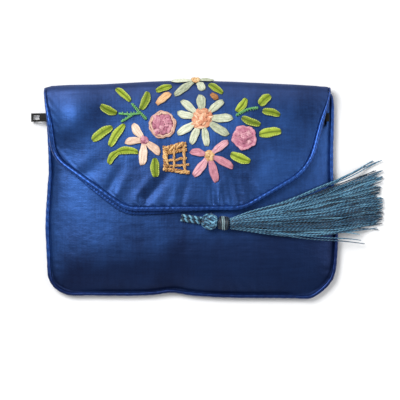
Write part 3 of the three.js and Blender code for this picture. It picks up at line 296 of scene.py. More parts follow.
@dataclass(frozen=True)
class FlapForm:
    """The flap as a cloth: x across and v, the length up the cloth, which runs over the fold."""

    purse: PurseForm
    thickness: float = 1.6
    piping: float = 3.0
    fold: float = 5.0
    tail: float = 8.0
    clearance: float = 1.6
    corners: Rows = (
        (-0.992, 0.855, 0), (-0.937, 0.281, 19), (-0.435, -0.196, 19), (0.358, -0.188, 22),
        (0.816, 0.175, 31), (0.948, 0.862, 0),
    )
    lifts: Rows = ((-62.6, 38.7, 14, 4.6), (2.4, 1.7, 16, 0.6))
    creases: tuple[Crease, ...] = (
        Crease(-23.5, -5.0, -12.3, 8.5, 2.8, 1.25),
        Crease(11.8, -7.0, 10.8, 5.0, 2.3, 1.15, -1.6),
        Crease(25.6, -6.0, 22.6, 8.3, 2.7, 1.1),
        Crease(-43.0, 0.2, -36.5, 12.0, 2.8, 0.85, -1.6),
        Crease(-5.5, -8.5, -2.5, 3.5, 2.2, 0.6),
        Crease(17.5, -7.5, 16.8, 0.5, 1.8, 0.6),
        Crease(34.0, -3.5, 28.5, 9.0, 2.6, 0.75, -1.6),
        Crease(-57.0, 7.0, -44.0, 17.5, 3.6, 0.65),
        Crease(-66.0, 24.0, -44.0, 38.0, 5.0, 0.5),
        Crease(62.0, 18.0, 48.0, 26.0, 4.6, 0.45),
        Crease(64.0, 30.0, 52.0, 44.0, 4.5, 0.4, -1.6),
    )
    outline: list[Vector] = field(default_factory=list)
    bottom_span: list[float] = field(default_factory=list)

    def __post_init__(self) -> None:
        """Draws the flap's outline once, corners rounded."""
        self.outline.extend(self._rounded())

    def _rounded(self) -> list[Vector]:
        """The outline as close points at even lengths.

        Returns:
            The points, from the left side's top round to the right side's.
        """
        form = self.purse
        points = [Vector((a * form.half_width, u * form.half_height)) for a, u, _ in self.corners]
        line = [points[0]]
        for before, here, after, row in zip(points, points[1:], points[2:], self.corners[1:]):
            into, onward = (before - here).normalized(), (after - here).normalized()
            reach = row[2] * math.tan((math.pi - math.acos(into.dot(onward))) / 2)
            start, end = here + into * reach, here + onward * reach
            for step in range(17):
                t = step / 16
                line.append(start * (1 - t) ** 2 + here * 2 * t * (1 - t) + end * t * t)
        line.append(points[-1])
        lengths = [0.0]
        for before, after in zip(line, line[1:]):
            lengths.append(lengths[-1] + (after - before).length)
        self.bottom_span.extend((lengths[34] / lengths[-1], lengths[35] / lengths[-1]))
        return even_points([p.to_3d() for p in line], 400)

    def edge(self, share: float, inset: float) -> Vector:
        """Point of the outline, moved in towards the panel.

        Args:
            share: Share of the outline, from the left side's top.
            inset: How far in towards the panel.

        Returns:
            The point, flat.
        """
        last = len(self.outline) - 1
        at = min(max(share, 0.0), 1.0) * last
        index = min(int(at), last - 1)
        point = self.outline[index].lerp(self.outline[index + 1], at - index)
        ahead = self.outline[min(index + 3, last)]
        behind = self.outline[max(index - 2, 0)]
        along = (ahead - behind).normalized()
        return point + Vector((-along.y, along.x, 0)) * inset

    def fold_start(self, x: float) -> float:
        """Where the cloth begins to turn round the fold."""
        return self.purse.top(x) - self.fold

    def rest(self, x: float, y: float) -> float:
        """Height of what the flap lies on.

        Args:
            x: Place across, in millimetres.
            y: Place up the purse, in millimetres.

        Returns:
            The height in millimetres.
        """
        rise = sum(
            height * math.exp(-(math.hypot(x - at_x, y - at_y) / spread) ** 2)
            for at_x, at_y, spread, height in self.lifts
        )
        top = self.purse.seam + self.purse.piping / 2
        return soft_max(self.purse.front_height(x, y), top, 1) + rise

    def underside(self, x: float, y: float) -> float:
        """Height of the flap's lower face."""
        return self.rest(x, y) + self.clearance

    def dent(self, x: float, y: float) -> float:
        """Depth of the flap's creases and small unevenness.

        Args:
            x: Place across, in millimetres.
            y: Place up the purse, in millimetres.

        Returns:
            The depth in millimetres.
        """
        pressed = sum(crease.at(x, y) for crease in self.creases)
        calm = 1 - 0.6 * smooth_step(y, 40, 56)
        return pressed + calm * (0.42 * ripple(x, y, 17, 3.1) + 0.17 * ripple(x, y * 0.7, 7, 8.7))

    def point(self, x: float, v: float, lift: float) -> Vector:
        """Point over the flap.

        Args:
            x: Place across.
            v: Length up the cloth.
            lift: Height over the flap's lower face, along the cloth's normal.

        Returns:
            The point in millimetres.
        """
        start = self.fold_start(x)
        dent = self.dent(x, v) * min(lift / self.thickness, 1.0)
        if v <= start:
            return Vector((x, v, self.underside(x, v) + lift - dent))
        outer = (self.underside(x, start) + self.thickness) / 2
        angle = min((v - start) / self.fold, math.pi)
        fade = 1 - smooth_step(angle, 1.2, 2.4)
        over = lift - self.thickness - dent * fade
        tail = max(v - start - math.pi * self.fold, 0.0)
        reach = (self.fold + over) * math.sin(angle) - tail
        return Vector((x, start + reach, outer + (outer + over) * math.cos(angle)))

    def cloth_length(self, x: float, y: float) -> float:
        """Length up the cloth for a height seen from the front.

        Args:
            x: Place across, in millimetres.
            y: Height in the view from the front.

        Returns:
            The length v.
        """
        start = self.fold_start(x)
        if y <= start:
            return y
        return start + self.fold * math.asin(min((y - start) / self.fold, 1.0))


def even_points(points: Sequence[Vector], count: int) -> list[Vector]:
    """Points at even lengths along a line.

    Args:
        points: The line's corners.
        count: How many spans to cut it into.

    Returns:
        count + 1 points.
    """
    lengths = [0.0]
    for before, after in zip(points, points[1:]):
        lengths.append(lengths[-1] + (after - before).length)
    result, index = [], 0
    for step in range(count + 1):
        want = lengths[-1] * step / count
        while index < len(points) - 2 and lengths[index + 1] < want:
            index += 1
        span = max(lengths[index + 1] - lengths[index], 1e-9)
        share = min((want - lengths[index]) / span, 1.0)
        result.append(points[index].lerp(points[index + 1], share))
    return result


def smooth_line(points: Sequence[Vector], count: int) -> list[Vector]:
    """Points at even lengths along a smooth curve through some points.

    Args:
        points: Points that the curve goes through.
        count: How many spans to cut it into.

    Returns:
        count + 1 points.
    """
    padded = [points[0] * 2 - points[1], *points, points[-1] * 2 - points[-2]]
    fine = []
    for a, b, c, d in zip(padded, padded[1:], padded[2:], padded[3:]):
        for step in range(8):
            t = step / 8
            bend, swing = 2 * a - 5 * b + 4 * c - d, 3 * b - a - 3 * c + d
            fine.append(0.5 * (2 * b + (c - a) * t + bend * t**2 + swing * t**3))
    fine.append(points[-1].copy())
    return even_points(fine, count)


class Cloth:
    """A mesh in the making: patches and tubes that are laid out from grids."""

    def __init__(self) -> None:
        """Starts an empty mesh with a UV map and a tone for each thread."""
        self.mesh = bmesh.new()
        self.mesh.loops.layers.uv.new("UVMap")
        self.tone = self.mesh.verts.layers.float.new("tone")

    def patch(self, columns: int, rows: int, place: Place, tone: float = 0.5) -> None:
        """Adds a surface.

        Args:
            columns: Faces along u.
            rows: Faces along v.
            place: Gives the point in millimetres for u and v from 0 to 1.
            tone: Shade of the thread, from 0 to 1.
        """
        made = bmesh.ops.create_grid(
            self.mesh, x_segments=columns, y_segments=rows, size=0.5, calc_uvs=True
        )
        for vert in made["verts"]:
            u = round((vert.co.x + 0.5) * columns) / columns
            v = round((vert.co.y + 0.5) * rows) / rows
            vert.co = place(u, v) * MM
            vert[self.tone] = tone

    def tube(
        self,
        line: Sequence[Vector],
        radius: Callable[[float, float], float],
        sides: int,
        flat: float = 1.0,
        tone: float = 0.5,
    ) -> None:
        """Adds a closed tube along a line.

        Args:
            line: Points of its middle line, in millimetres.
            radius: Gives its radius for the share round it and the share along it.
            sides: Faces round it.
            flat: Its height as a share of its width.
            tone: Shade of the thread, from 0 to 1.
        """
        frames = self._frames(line)
        last = len(line) - 1
        rows = last + 2

        def place(u: float, v: float) -> Vector:
            """Point of the tube; its first and last row are its two poles.

            Args:
                u: Share across or round, from 0 to 1.
                v: Share along, from 0 to 1.

            Returns:
                The point in millimetres.
            """
            row = round(v * rows)
            at = min(max(row - 1, 0), last)
            side, up = frames[at]
            reach = 0.0 if row in (0, rows) else radius(u, at / last)
            turn = 2 * math.pi * u
            return line[at] + side * (math.cos(turn) * reach) + up * (math.sin(turn) * reach * flat)

        self.patch(sides, rows, place, tone)

    @staticmethod
    def _frames(line: Sequence[Vector]) -> list[tuple[Vector, Vector]]:
        """Sideways and upward directions along a line, carried on without twist.

        Args:
            line: Points of the line.

        Returns:
            Two directions for each point.
        """
        up = Vector((0, 0, 1))
        frames = []
        for index in range(len(line)):
            along = line[min(index + 1, len(line) - 1)] - line[max(index - 1, 0)]
            along.normalize()
            if abs(along.dot(up)) > 0.95 and not frames:
                up = Vector((0, 1, 0))
            up = (up - along * up.dot(along)).normalized()
            frames.append((up.cross(along), up.copy()))
        return frames

    def finish(
        self,
        name: str,
        finish: bpy.types.Material,
        slot: str,
        replaced: Sequence[str] = (),
        wall: float = 0.0,
        levels: int = 0,
    ) -> bpy.types.Object:
        """Closes the mesh and makes it a piece that rides on the purse.

        Args:
            name: The piece's name.
            finish: Its material.
            slot: Not used.
            replaced: CAD nodes that it stands for.
            wall: Thickness in millimetres for an open cloth, laid on below its faces.
            levels: Subdivision levels.

        Returns:
            The finished object.
        """
        bmesh.ops.remove_doubles(self.mesh, verts=self.mesh.verts[:], dist=WELD_REACH)
        bmesh.ops.dissolve_degenerate(self.mesh, edges=self.mesh.edges[:], dist=FLAT_EDGE)
        if wall == 0.0:
            bmesh.ops.recalc_face_normals(self.mesh, faces=self.mesh.faces[:])
        data = bpy.data.meshes.new(name)
        self.mesh.to_mesh(data)
        self.mesh.free()
        data.polygons.foreach_set("use_smooth", [True] * len(data.polygons))
        data.materials.append(finish)
        piece = bpy.data.objects.new(name, data)
        bpy.context.scene.collection.objects.link(piece)
        if wall > 0.0:
            solid = piece.modifiers.new("wall", "SOLIDIFY")
            solid.thickness, solid.offset, solid.use_even_offset = wall * MM, -1.0, False
        if levels:
            soft = piece.modifiers.new("soften", "SUBSURF")
            soft.levels = soft.render_levels = levels
        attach(piece, PURSE)
        if replaced:
            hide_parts(*replaced)
        LOG.info("%s: %d faces", name, len(data.polygons))
        return piece


class Sock:
    """A shader socket that can be used in sums."""

    def __init__(self, recipe: "Recipe", socket: bpy.types.NodeSocket) -> None:
        """Wraps one output socket."""
        self.recipe = recipe
        self.socket = socket

    def _sum(self, operation: str, *values: object) -> "Sock":
        """Adds a Math node."""
        return self.recipe.add("ShaderNodeMath", {"operation": operation}, dict(enumerate(values)))

    def __add__(self, other: object) -> "Sock":
        """Sum."""
        return self._sum("ADD", self, other)

    __radd__ = __add__

    def __sub__(self, other: object) -> "Sock":
        """Difference."""
        return self._sum("SUBTRACT", self, other)

    def __rsub__(self, other: object) -> "Sock":
        """Difference, turned round."""
        return self._sum("SUBTRACT", other, self)

    def __mul__(self, other: object) -> "Sock":
        """Product."""
        return self._sum("MULTIPLY", self, other)

    __rmul__ = __mul__

    def sine(self) -> "Sock":
        """Sine, from -1 to 1."""
        return self._sum("SINE", self)

    def size(self) -> "Sock":
        """Value without its sign."""
        return self._sum("ABSOLUTE", self)

    def span(self, low: float, high: float) -> "Sock":
        """Smooth share from 0 at low to 1 at high."""
        settings = {"interpolation_type": "SMOOTHSTEP"}
        return self.recipe.add("ShaderNodeMapRange", settings, {"Value": self, 1: low, 2: high})


def dye(red: int, green: int, blue: int) -> tuple[float, float, float, float]:
    """Shader colour for a colour in screen values.

    Args:
        red: Red, from 0 to 255.
        green: Green, from 0 to 255.
        blue: Blue, from 0 to 255.

    Returns:
        The colour with an alpha of 1.
    """
    tone = [
        ((value / 255 + 0.055) / 1.055) ** 2.4 if value > 10 else value / 255 / 12.92
        for value in (red, green, blue)
    ]
    return (tone[0], tone[1], tone[2], 1.0)


class Recipe:
    """A material in the making."""

    def __init__(self, name: str) -> None:
        """Starts a material with one surface shader.

        Args:
            name: The material's name.
        """
        self.material = bpy.data.materials.new(name)
        self.material.use_nodes = True
        self.tree = self.material.node_tree
        self.surface = self.tree.nodes["Principled BSDF"]

    def add(self, kind: str, settings: dict, values: dict, output: str | int = 0) -> Sock:
        """Adds a node.

        Args:
            kind: The node's type.
            settings: Its settings, set first; stops are a ramp's places and colours.
            values: Values or sockets for its inputs, by name or number.
            output: Which output to hand on.

        Returns:
            The wrapped output.
        """
        node = self.tree.nodes.new(kind)
        for key, value in settings.items():
            if key == "stops":
                self._stops(node.color_ramp, value)
            else:
                setattr(node, key, value)
        for key, value in values.items():
            if isinstance(value, Sock):
                self.tree.links.new(value.socket, node.inputs[key])
            else:
                node.inputs[key].default_value = value
        return Sock(self, node.outputs[output])

    @staticmethod
    def _stops(ramp: bpy.types.ColorRamp, stops: Sequence[tuple[float, tuple]]) -> None:
        """Sets a ramp's stops.

        Args:
            ramp: The ramp to set.
            stops: Places and colours.
        """
        while len(ramp.elements) < len(stops):
            ramp.elements.new(0.5)
        for element, (place, color) in zip(ramp.elements, stops):
            element.position, element.color = place, color

    def ramp(self, factor: Sock, stops: Sequence[tuple[float, tuple]]) -> Sock:
        """Colours along a value."""
        return self.add("ShaderNodeValToRGB", {"stops": stops}, {"Fac": factor})

    def mix(self, factor: Sock | float, first: object, second: object) -> Sock:
        """Blend of two colours.

        Args:
            factor: Share of the second colour.
            first: The first colour.
            second: The second colour.

        Returns:
            The blended colour.
        """
        return self.add(
            "ShaderNodeMix", {"data_type": "RGBA"}, {0: factor, 6: first, 7: second}, 2
        )

    def place(self, scale: Sequence[float] = (1, 1, 1), turn: float = 0.0) -> Sock:
        """Object coordinates in millimetres, scaled and turned about Z in degrees.

        Args:
            scale: Scale along each axis.
            turn: Turn about Z in degrees.

        Returns:
            The coordinates.
        """
        coords = self.add("ShaderNodeTexCoord", {}, {}, "Object")
        stretch = tuple(s / MM for s in scale)
        rotation = (0, 0, math.radians(turn))
        values = {"Vector": coords, "Rotation": rotation, "Scale": stretch}
        return self.add("ShaderNodeMapping", {}, values)

    def grain(self, vector: Sock, scale: float, detail: float = 2.0, rough: float = 0.5) -> Sock:
        """Noise from 0 to 1 on a vector."""
        values = {"Vector": vector, "Scale": scale, "Detail": detail, "Roughness": rough}
        return self.add("ShaderNodeTexNoise", {}, values)

    def uv(self) -> tuple[Sock, Sock]:
        """The piece's own u and v.

        Returns:
            u, then v.
        """
        coords = self.add("ShaderNodeUVMap", {"uv_map": "UVMap"}, {})
        parts = self.add("ShaderNodeSeparateXYZ", {}, {"Vector": coords})
        node = parts.socket.node
        return Sock(self, node.outputs[0]), Sock(self, node.outputs[1])

    def tone(self) -> Sock:
        """The shade that each thread carries."""
        return self.add("ShaderNodeAttribute", {"attribute_name": "tone"}, {}, "Fac")

    def relief(self, height: Sock, depth: float, strength: float = 1.0) -> None:
        """Raises the surface by a height, depth in millimetres.

        Args:
            height: Height, from 0 to about 1.
            depth: Its depth.
            strength: Strength of the bump.
        """
        values = {"Height": height, "Distance": depth * MM, "Strength": strength}
        bump = self.add("ShaderNodeBump", {}, values)
        self.tree.links.new(bump.socket, self.surface.inputs["Normal"])

    def coat(self, **values: object) -> bpy.types.Material:
        """Sets sockets of the surface and hands the material over.

        Args:
            **values: Values or sockets, by the name of the shader's socket.

        Returns:
            The finished material.
        """
        for key, value in values.items():
            socket = self.surface.inputs[key.replace("_", " ").title().replace("Ior", "IOR")]
            if isinstance(value, Sock):
                self.tree.links.new(value.socket, socket)
            else:
                socket.default_value = value
        return self.material


class Weave(Enum):
    """How a satin panel's threads run."""

    PANEL = "panel"
    ROLLED = "rolled"


@dataclass(frozen=True)
class Satin:
    """Glossy blue satin."""

    name: str
    weave: Weave = Weave.PANEL
    deep: tuple = dye(13, 24, 58)
    lit: tuple = dye(46, 88, 156)
    roughness: float = 0.46
    # colour of the painted dull shade near the top fold
    fold_shade: tuple = dye(56, 66, 104)

    def make(self) -> bpy.types.Material:
        """The material: a fine weave with slubs, cloudy tone, painted shade towards the lower right
        and near the top fold, and soft folds; rolled edges get painted shade along their puckers.

        Returns:
            The finished material.
        """
        recipe = Recipe(self.name)
        clouds = recipe.grain(recipe.place((1, 0.7, 1)), 0.045, 3.0)
        slubs = recipe.grain(recipe.place((0.05, 0.85, 0.5)), 1.0, 2.0).span(0.3, 0.7)
        warp = recipe.grain(recipe.place((0.9, 0.07, 0.07)), 1.0, 1.0).span(0.3, 0.7)
        fine = recipe.grain(recipe.place((1.0, 1.9, 1.4)), 1.0, 1.0)
        parts = recipe.add("ShaderNodeSeparateXYZ", {}, {"Vector": recipe.place()})
        x, y = (Sock(recipe, parts.socket.node.outputs[index]) for index in (0, 1))
        # painted shade: the colour darkens towards the lower right of the purse, where the cloth
        # turns away from the key light
        depth = (y + x * -0.25 + clouds * 22).span(-24, 0)
        weave = slubs * 0.08 + warp * 0.08 + fine * 0.36
        # shade mixes the cloth's cloudy tone and weave with the painted shade above
        shade = (clouds.span(0.25, 0.75) * 0.5 + weave) * (depth * 0.75 + 0.25)
        color = recipe.mix(shade, self.deep, self.lit)
        # painted shade: the colour turns a dull grey-blue where the cloth turns over the top fold;
        # the roughness also rises there
        wear_and_fold_shade = (y + clouds * 14).span(46, 64)
        color = recipe.mix(wear_and_fold_shade * 0.55, color, self.fold_shade)
        rough = self.roughness - 0.05 + slubs * 0.06 + clouds * 0.06 + wear_and_fold_shade * 0.12
        height = slubs * 0.25 + warp * 0.25 + fine * 0.3
        if self.weave is Weave.ROLLED:
            u, v = recipe.uv()
            pucker = (v * 560 + u * 7 + clouds * 9).sine() * 0.5 + 0.5
            height = height * 0.3 + pucker * 0.25
            # painted shade along the puckers of the rolled edge
            color = recipe.mix(pucker * 0.3, color, self.deep)
        else:
            crinkle = recipe.grain(recipe.place((0.16, 0.3, 0.2), 24), 1.0, 3.0, 0.6)
            drape = recipe.grain(recipe.place((0.07, 0.1, 0.1), 35), 1.0, 2.0)
            height = height * 0.5 + crinkle * 1.2 + drape * 4.0
        recipe.relief(height, 0.16, 0.8)
        return recipe.coat(
            base_color=color, roughness=rough, specular_ior_level=0.35, metallic=0.72,
            sheen_weight=0.03, sheen_roughness=0.4, sheen_tint=dye(110, 150, 235),
        )


@dataclass(frozen=True)
class Ribbon:
    """Silk ribbon with fine lengthwise grain and painted shade at its ends, where it dips into the
    cloth.
    """

    name: str
    dark: tuple
    main: tuple
    light: tuple
    vein: tuple | None = None

    def make(self) -> bpy.types.Material:
        """The material, with painted shade at the ends, along a leaf's middle fold and along a
        petal's pleats, and small stitches along both edges of a leaf.

        Returns:
            The finished material.
        """
        recipe = Recipe(self.name)
        u, v = recipe.uv()
        tone = recipe.tone()
        cloud = recipe.grain(recipe.place(), 0.55, 3.0)
        thread = (u * 46 + cloud * 3).sine() * 0.5 + 0.5
        weft = (v * 120).sine() * 0.5 + 0.5
        shade = cloud * 0.55 + tone * 0.45
        color = recipe.ramp(shade, [(0.28, self.dark), (0.5, self.main), (0.74, self.light)])
        # painted shade at the ribbon's ends, where it dips into the cloth
        ends = ((v - 0.5).size() * 2).span(0.7, 1.0)
        color = recipe.mix(ends * 0.55, color, self.dark)
        color = recipe.mix(thread * 0.22, color, self.light)
        height = thread * 0.5 + weft * 0.2 + cloud * 0.5
        if self.vein is not None:
            # painted shade along the fold in the middle of a leaf
            middle = 1.0 - (u - 0.5).size().span(0.02, 0.2)
            color = recipe.mix(middle * 0.75, color, self.dark)
            rim = (u - 0.5).size().span(0.3, 0.42)
            dots = (v * 62).sine().span(-0.1, 0.5) * rim
            color = recipe.mix(rim * 0.3 + dots * 0.5, color, self.vein)
            height = height + dots * 1.4 - middle * 0.6
        else:
            # painted shade along the pleats of a petal
            pleat = (u * 21 + cloud * 4).sine() * 0.5 + 0.5
            color = recipe.mix(pleat * 0.3, color, self.dark)
            height = height + pleat * 0.8
        recipe.relief(height, 0.1)
        return recipe.coat(
            base_color=color, roughness=0.5 + cloud * 0.15, specular_ior_level=0.3,
            sheen_weight=0.08, sheen_roughness=0.4,
        )


@dataclass(frozen=True)
class Thread:
    """Twisted silk or cotton thread."""

    name: str
    dark: tuple
    main: tuple
    light: tuple
    turns: float = 60.0
    roughness: float = 0.42

    def make(self) -> bpy.types.Material:
        """The material: strands that wind round the thread, each with its own tone, and a painted
        highlight and shade on each turn of the twist.

        Returns:
            The finished material.
        """
        recipe = Recipe(self.name)
        u, v = recipe.uv()
        tone = recipe.tone()
        # painted highlight and shade: the colour brightens and darkens with each turn of the twist;
        # the twist also drives the bump
        twist = (v * self.turns + u * 12.566 + tone * 70).sine() * 0.5 + 0.5
        cloud = recipe.grain(recipe.place(), 0.35, 2.0)
        shade = tone * 0.5 + cloud * 0.25 + twist * 0.35
        color = recipe.ramp(shade, [(0.25, self.dark), (0.55, self.main), (0.92, self.light)])
        recipe.relief(twist, 0.12, 0.8)
        return recipe.coat(
            base_color=color, roughness=self.roughness + 0.12 * cloud, specular_ior_level=0.55,
            sheen_weight=0.25, sheen_roughness=0.35,
        )


@dataclass(frozen=True)
class Metal:
    """Painted or plated zinc with rubbed patches."""

    name: str
    paint: tuple
    wear_and_fold_shade: tuple
    metallic: float
    roughness: float

    def make(self) -> bpy.types.Material:
        """The material: fine casting grain and a few lighter rubbed places.

        Returns:
            The finished material.
        """
        recipe = Recipe(self.name)
        cast = recipe.grain(recipe.place(), 1.4, 4.0, 0.6)
        rubbed = recipe.grain(recipe.place(), 0.3, 5.0, 0.7).span(0.58, 0.72)
        color = recipe.mix(rubbed * 0.5, self.paint, self.wear_and_fold_shade)
        recipe.relief(cast, 0.04, 0.6)
        rough = self.roughness + cast * 0.14 - rubbed * 0.08
        return recipe.coat(base_color=color, metallic=self.metallic, roughness=rough)


@dataclass(frozen=True)
class Paper:
    """Plain pale floor."""

    name: str = "floor_paper"

    def make(self) -> bpy.types.Material:
        """The material: near white with the faintest unevenness.

        Returns:
            The finished material.
        """
        recipe = Recipe(self.name)
        cloud = recipe.grain(recipe.place(), 0.02, 2.0)
        color = recipe.mix(cloud, dye(243, 243, 243), dye(250, 250, 250))
        return recipe.coat(base_color=color, roughness=0.9)


@dataclass
class Body:
    """The padded pocket and the piping in its seam."""

    form: PurseForm
    columns: int = 170
    rows: int = 130
    edge_columns: float = 0.6
    edge_rows: float = 0.62
    rim: float = 1.6
    panel_width: float = 150.0
    panel_height: float = 112.0
    zip_room: float = 4.4
    zip_depth: float = 2.2
    piping_reach: float = 0.988
    piping_steps: int = 620
    bottom_stations: int = 14

    def pouch(self, satin: bpy.types.Material) -> bpy.types.Object:
        """Front and back panel as one closed padded form.

        Args:
            satin: Its material.

        Returns:
            The finished object.
        """
        form = self.form
        cloth = Cloth()

        def place(across: float, round_share: float) -> Vector:
            """Up the front while the share is above a half, and down the back below it.

            Args:
                across: Share from the left side to the right side.
                round_share: Share from the back's top round the bottom to the front's.

            Returns:
                The point in millimetres.
            """
            front = round_share > 0.5
            t = abs(2 * round_share - 1)
            up = t - self.edge_rows * math.sin(2 * math.pi * t) / (2 * math.pi)
            side = across - self.edge_columns * math.sin(2 * math.pi * across) / (2 * math.pi)
            flat = form.place(side, up, self.rim, self.rim, form.top_margin)
            if across in (0.0, 1.0) or t in (0.0, 1.0):
                return Vector((flat.x, flat.y, form.seam_height(up)))
            if not front:
                return Vector((flat.x, flat.y, form.back_face(2 * side - 1, up)))
            return Vector((flat.x, flat.y, self.front(flat.x, flat.y, side, up)))

        cloth.patch(self.columns, 2 * self.rows, place)
        piece = cloth.finish("pouch", satin, "satin", ["pouch_shell"])
        return piece

    def front(self, x: float, y: float, side: float, up: float) -> float:
        """Height of the front with its seam puckers, soft folds and the dip for the zip.

        Args:
            x: Place across, in millimetres.
            y: Place up the purse, in millimetres.
            side: Share from the left side to the right side.
            up: Share from the bottom edge to the top fold.

        Returns:
            The height in millimetres.
        """
        form = self.form
        height = form.front_height(x, y)
        to_side = min(side, 1 - side) * self.panel_width
        to_bottom = up * self.panel_height
        near = min(to_side, to_bottom)
        along = y if to_side < to_bottom else x
        pull = math.sin(along * 0.9 + 7 * ripple(x, y, 14, 1.0))
        pull *= math.exp(-(((near - 3) / 3.5) ** 2))
        pull *= 0.5 + ripple(x, y, 22, 9.0)
        inner = smooth_step(near, 0.0, 10.0)
        folds = 0.45 * ripple(x, y * 1.4, 30, 5.0) + 0.2 * ripple(x * 0.7, y, 11, 2.0)
        ends = smooth_step(x, form.zip_start - 1, form.zip_start)
        ends *= smooth_step(-x, -form.zip_end - 1, -form.zip_end)
        zip_dip = smooth_step(self.zip_room - abs(y - form.zip_y), 0.0, 0.5) * ends
        return height + 0.16 * pull - 0.25 * inner + 0.6 * inner * folds - self.zip_depth * zip_dip

    def piping(self, satin: bpy.types.Material) -> bpy.types.Object:
        """Satin rolled over cord, round the sides and the bottom.

        Args:
            satin: Its material.

        Returns:
            The finished object.
        """
        form = self.form
        inset = form.piping / 2
        points = []
        stations = [row[0] for row in form.side_rows if row[0] < self.piping_reach - 0.01]
        route = [(0.0, self.piping_reach), *[(0.0, up) for up in reversed(stations)]]
        route += [(step / self.bottom_stations, 0.0) for step in range(1, self.bottom_stations)]
        route += [*[(1.0, up) for up in stations], (1.0, self.piping_reach)]
        for across, up in route:
            flat = form.place(across, up, inset, inset, form.top_margin)
            points.append(Vector((flat.x, flat.y, form.seam)))
        line = smooth_line(points, self.piping_steps)
        cloth = Cloth()

        def radius(u: float, v: float) -> float:
            """Radius with the small tucks of cloth drawn round a cord.

            Args:
                u: Share across or round, from 0 to 1.
                v: Share along, from 0 to 1.

            Returns:
                The radius in millimetres.
            """
            end = min(smooth_step(v, 0, 0.004), smooth_step(1 - v, 0, 0.004))
            turn = math.cos(2 * math.pi * u)
            tuck = math.sin(v * 520 + 3 * math.sin(v * 41)) * (0.5 - 0.5 * turn)
            return inset * (0.3 + 0.7 * end) * (0.96 + 0.04 * tuck + 0.03 * math.sin(v * 190))

        cloth.tube(line, radius, 14)
        return cloth.finish("pocket_piping", satin, "satin_edge", ["body_piping"])


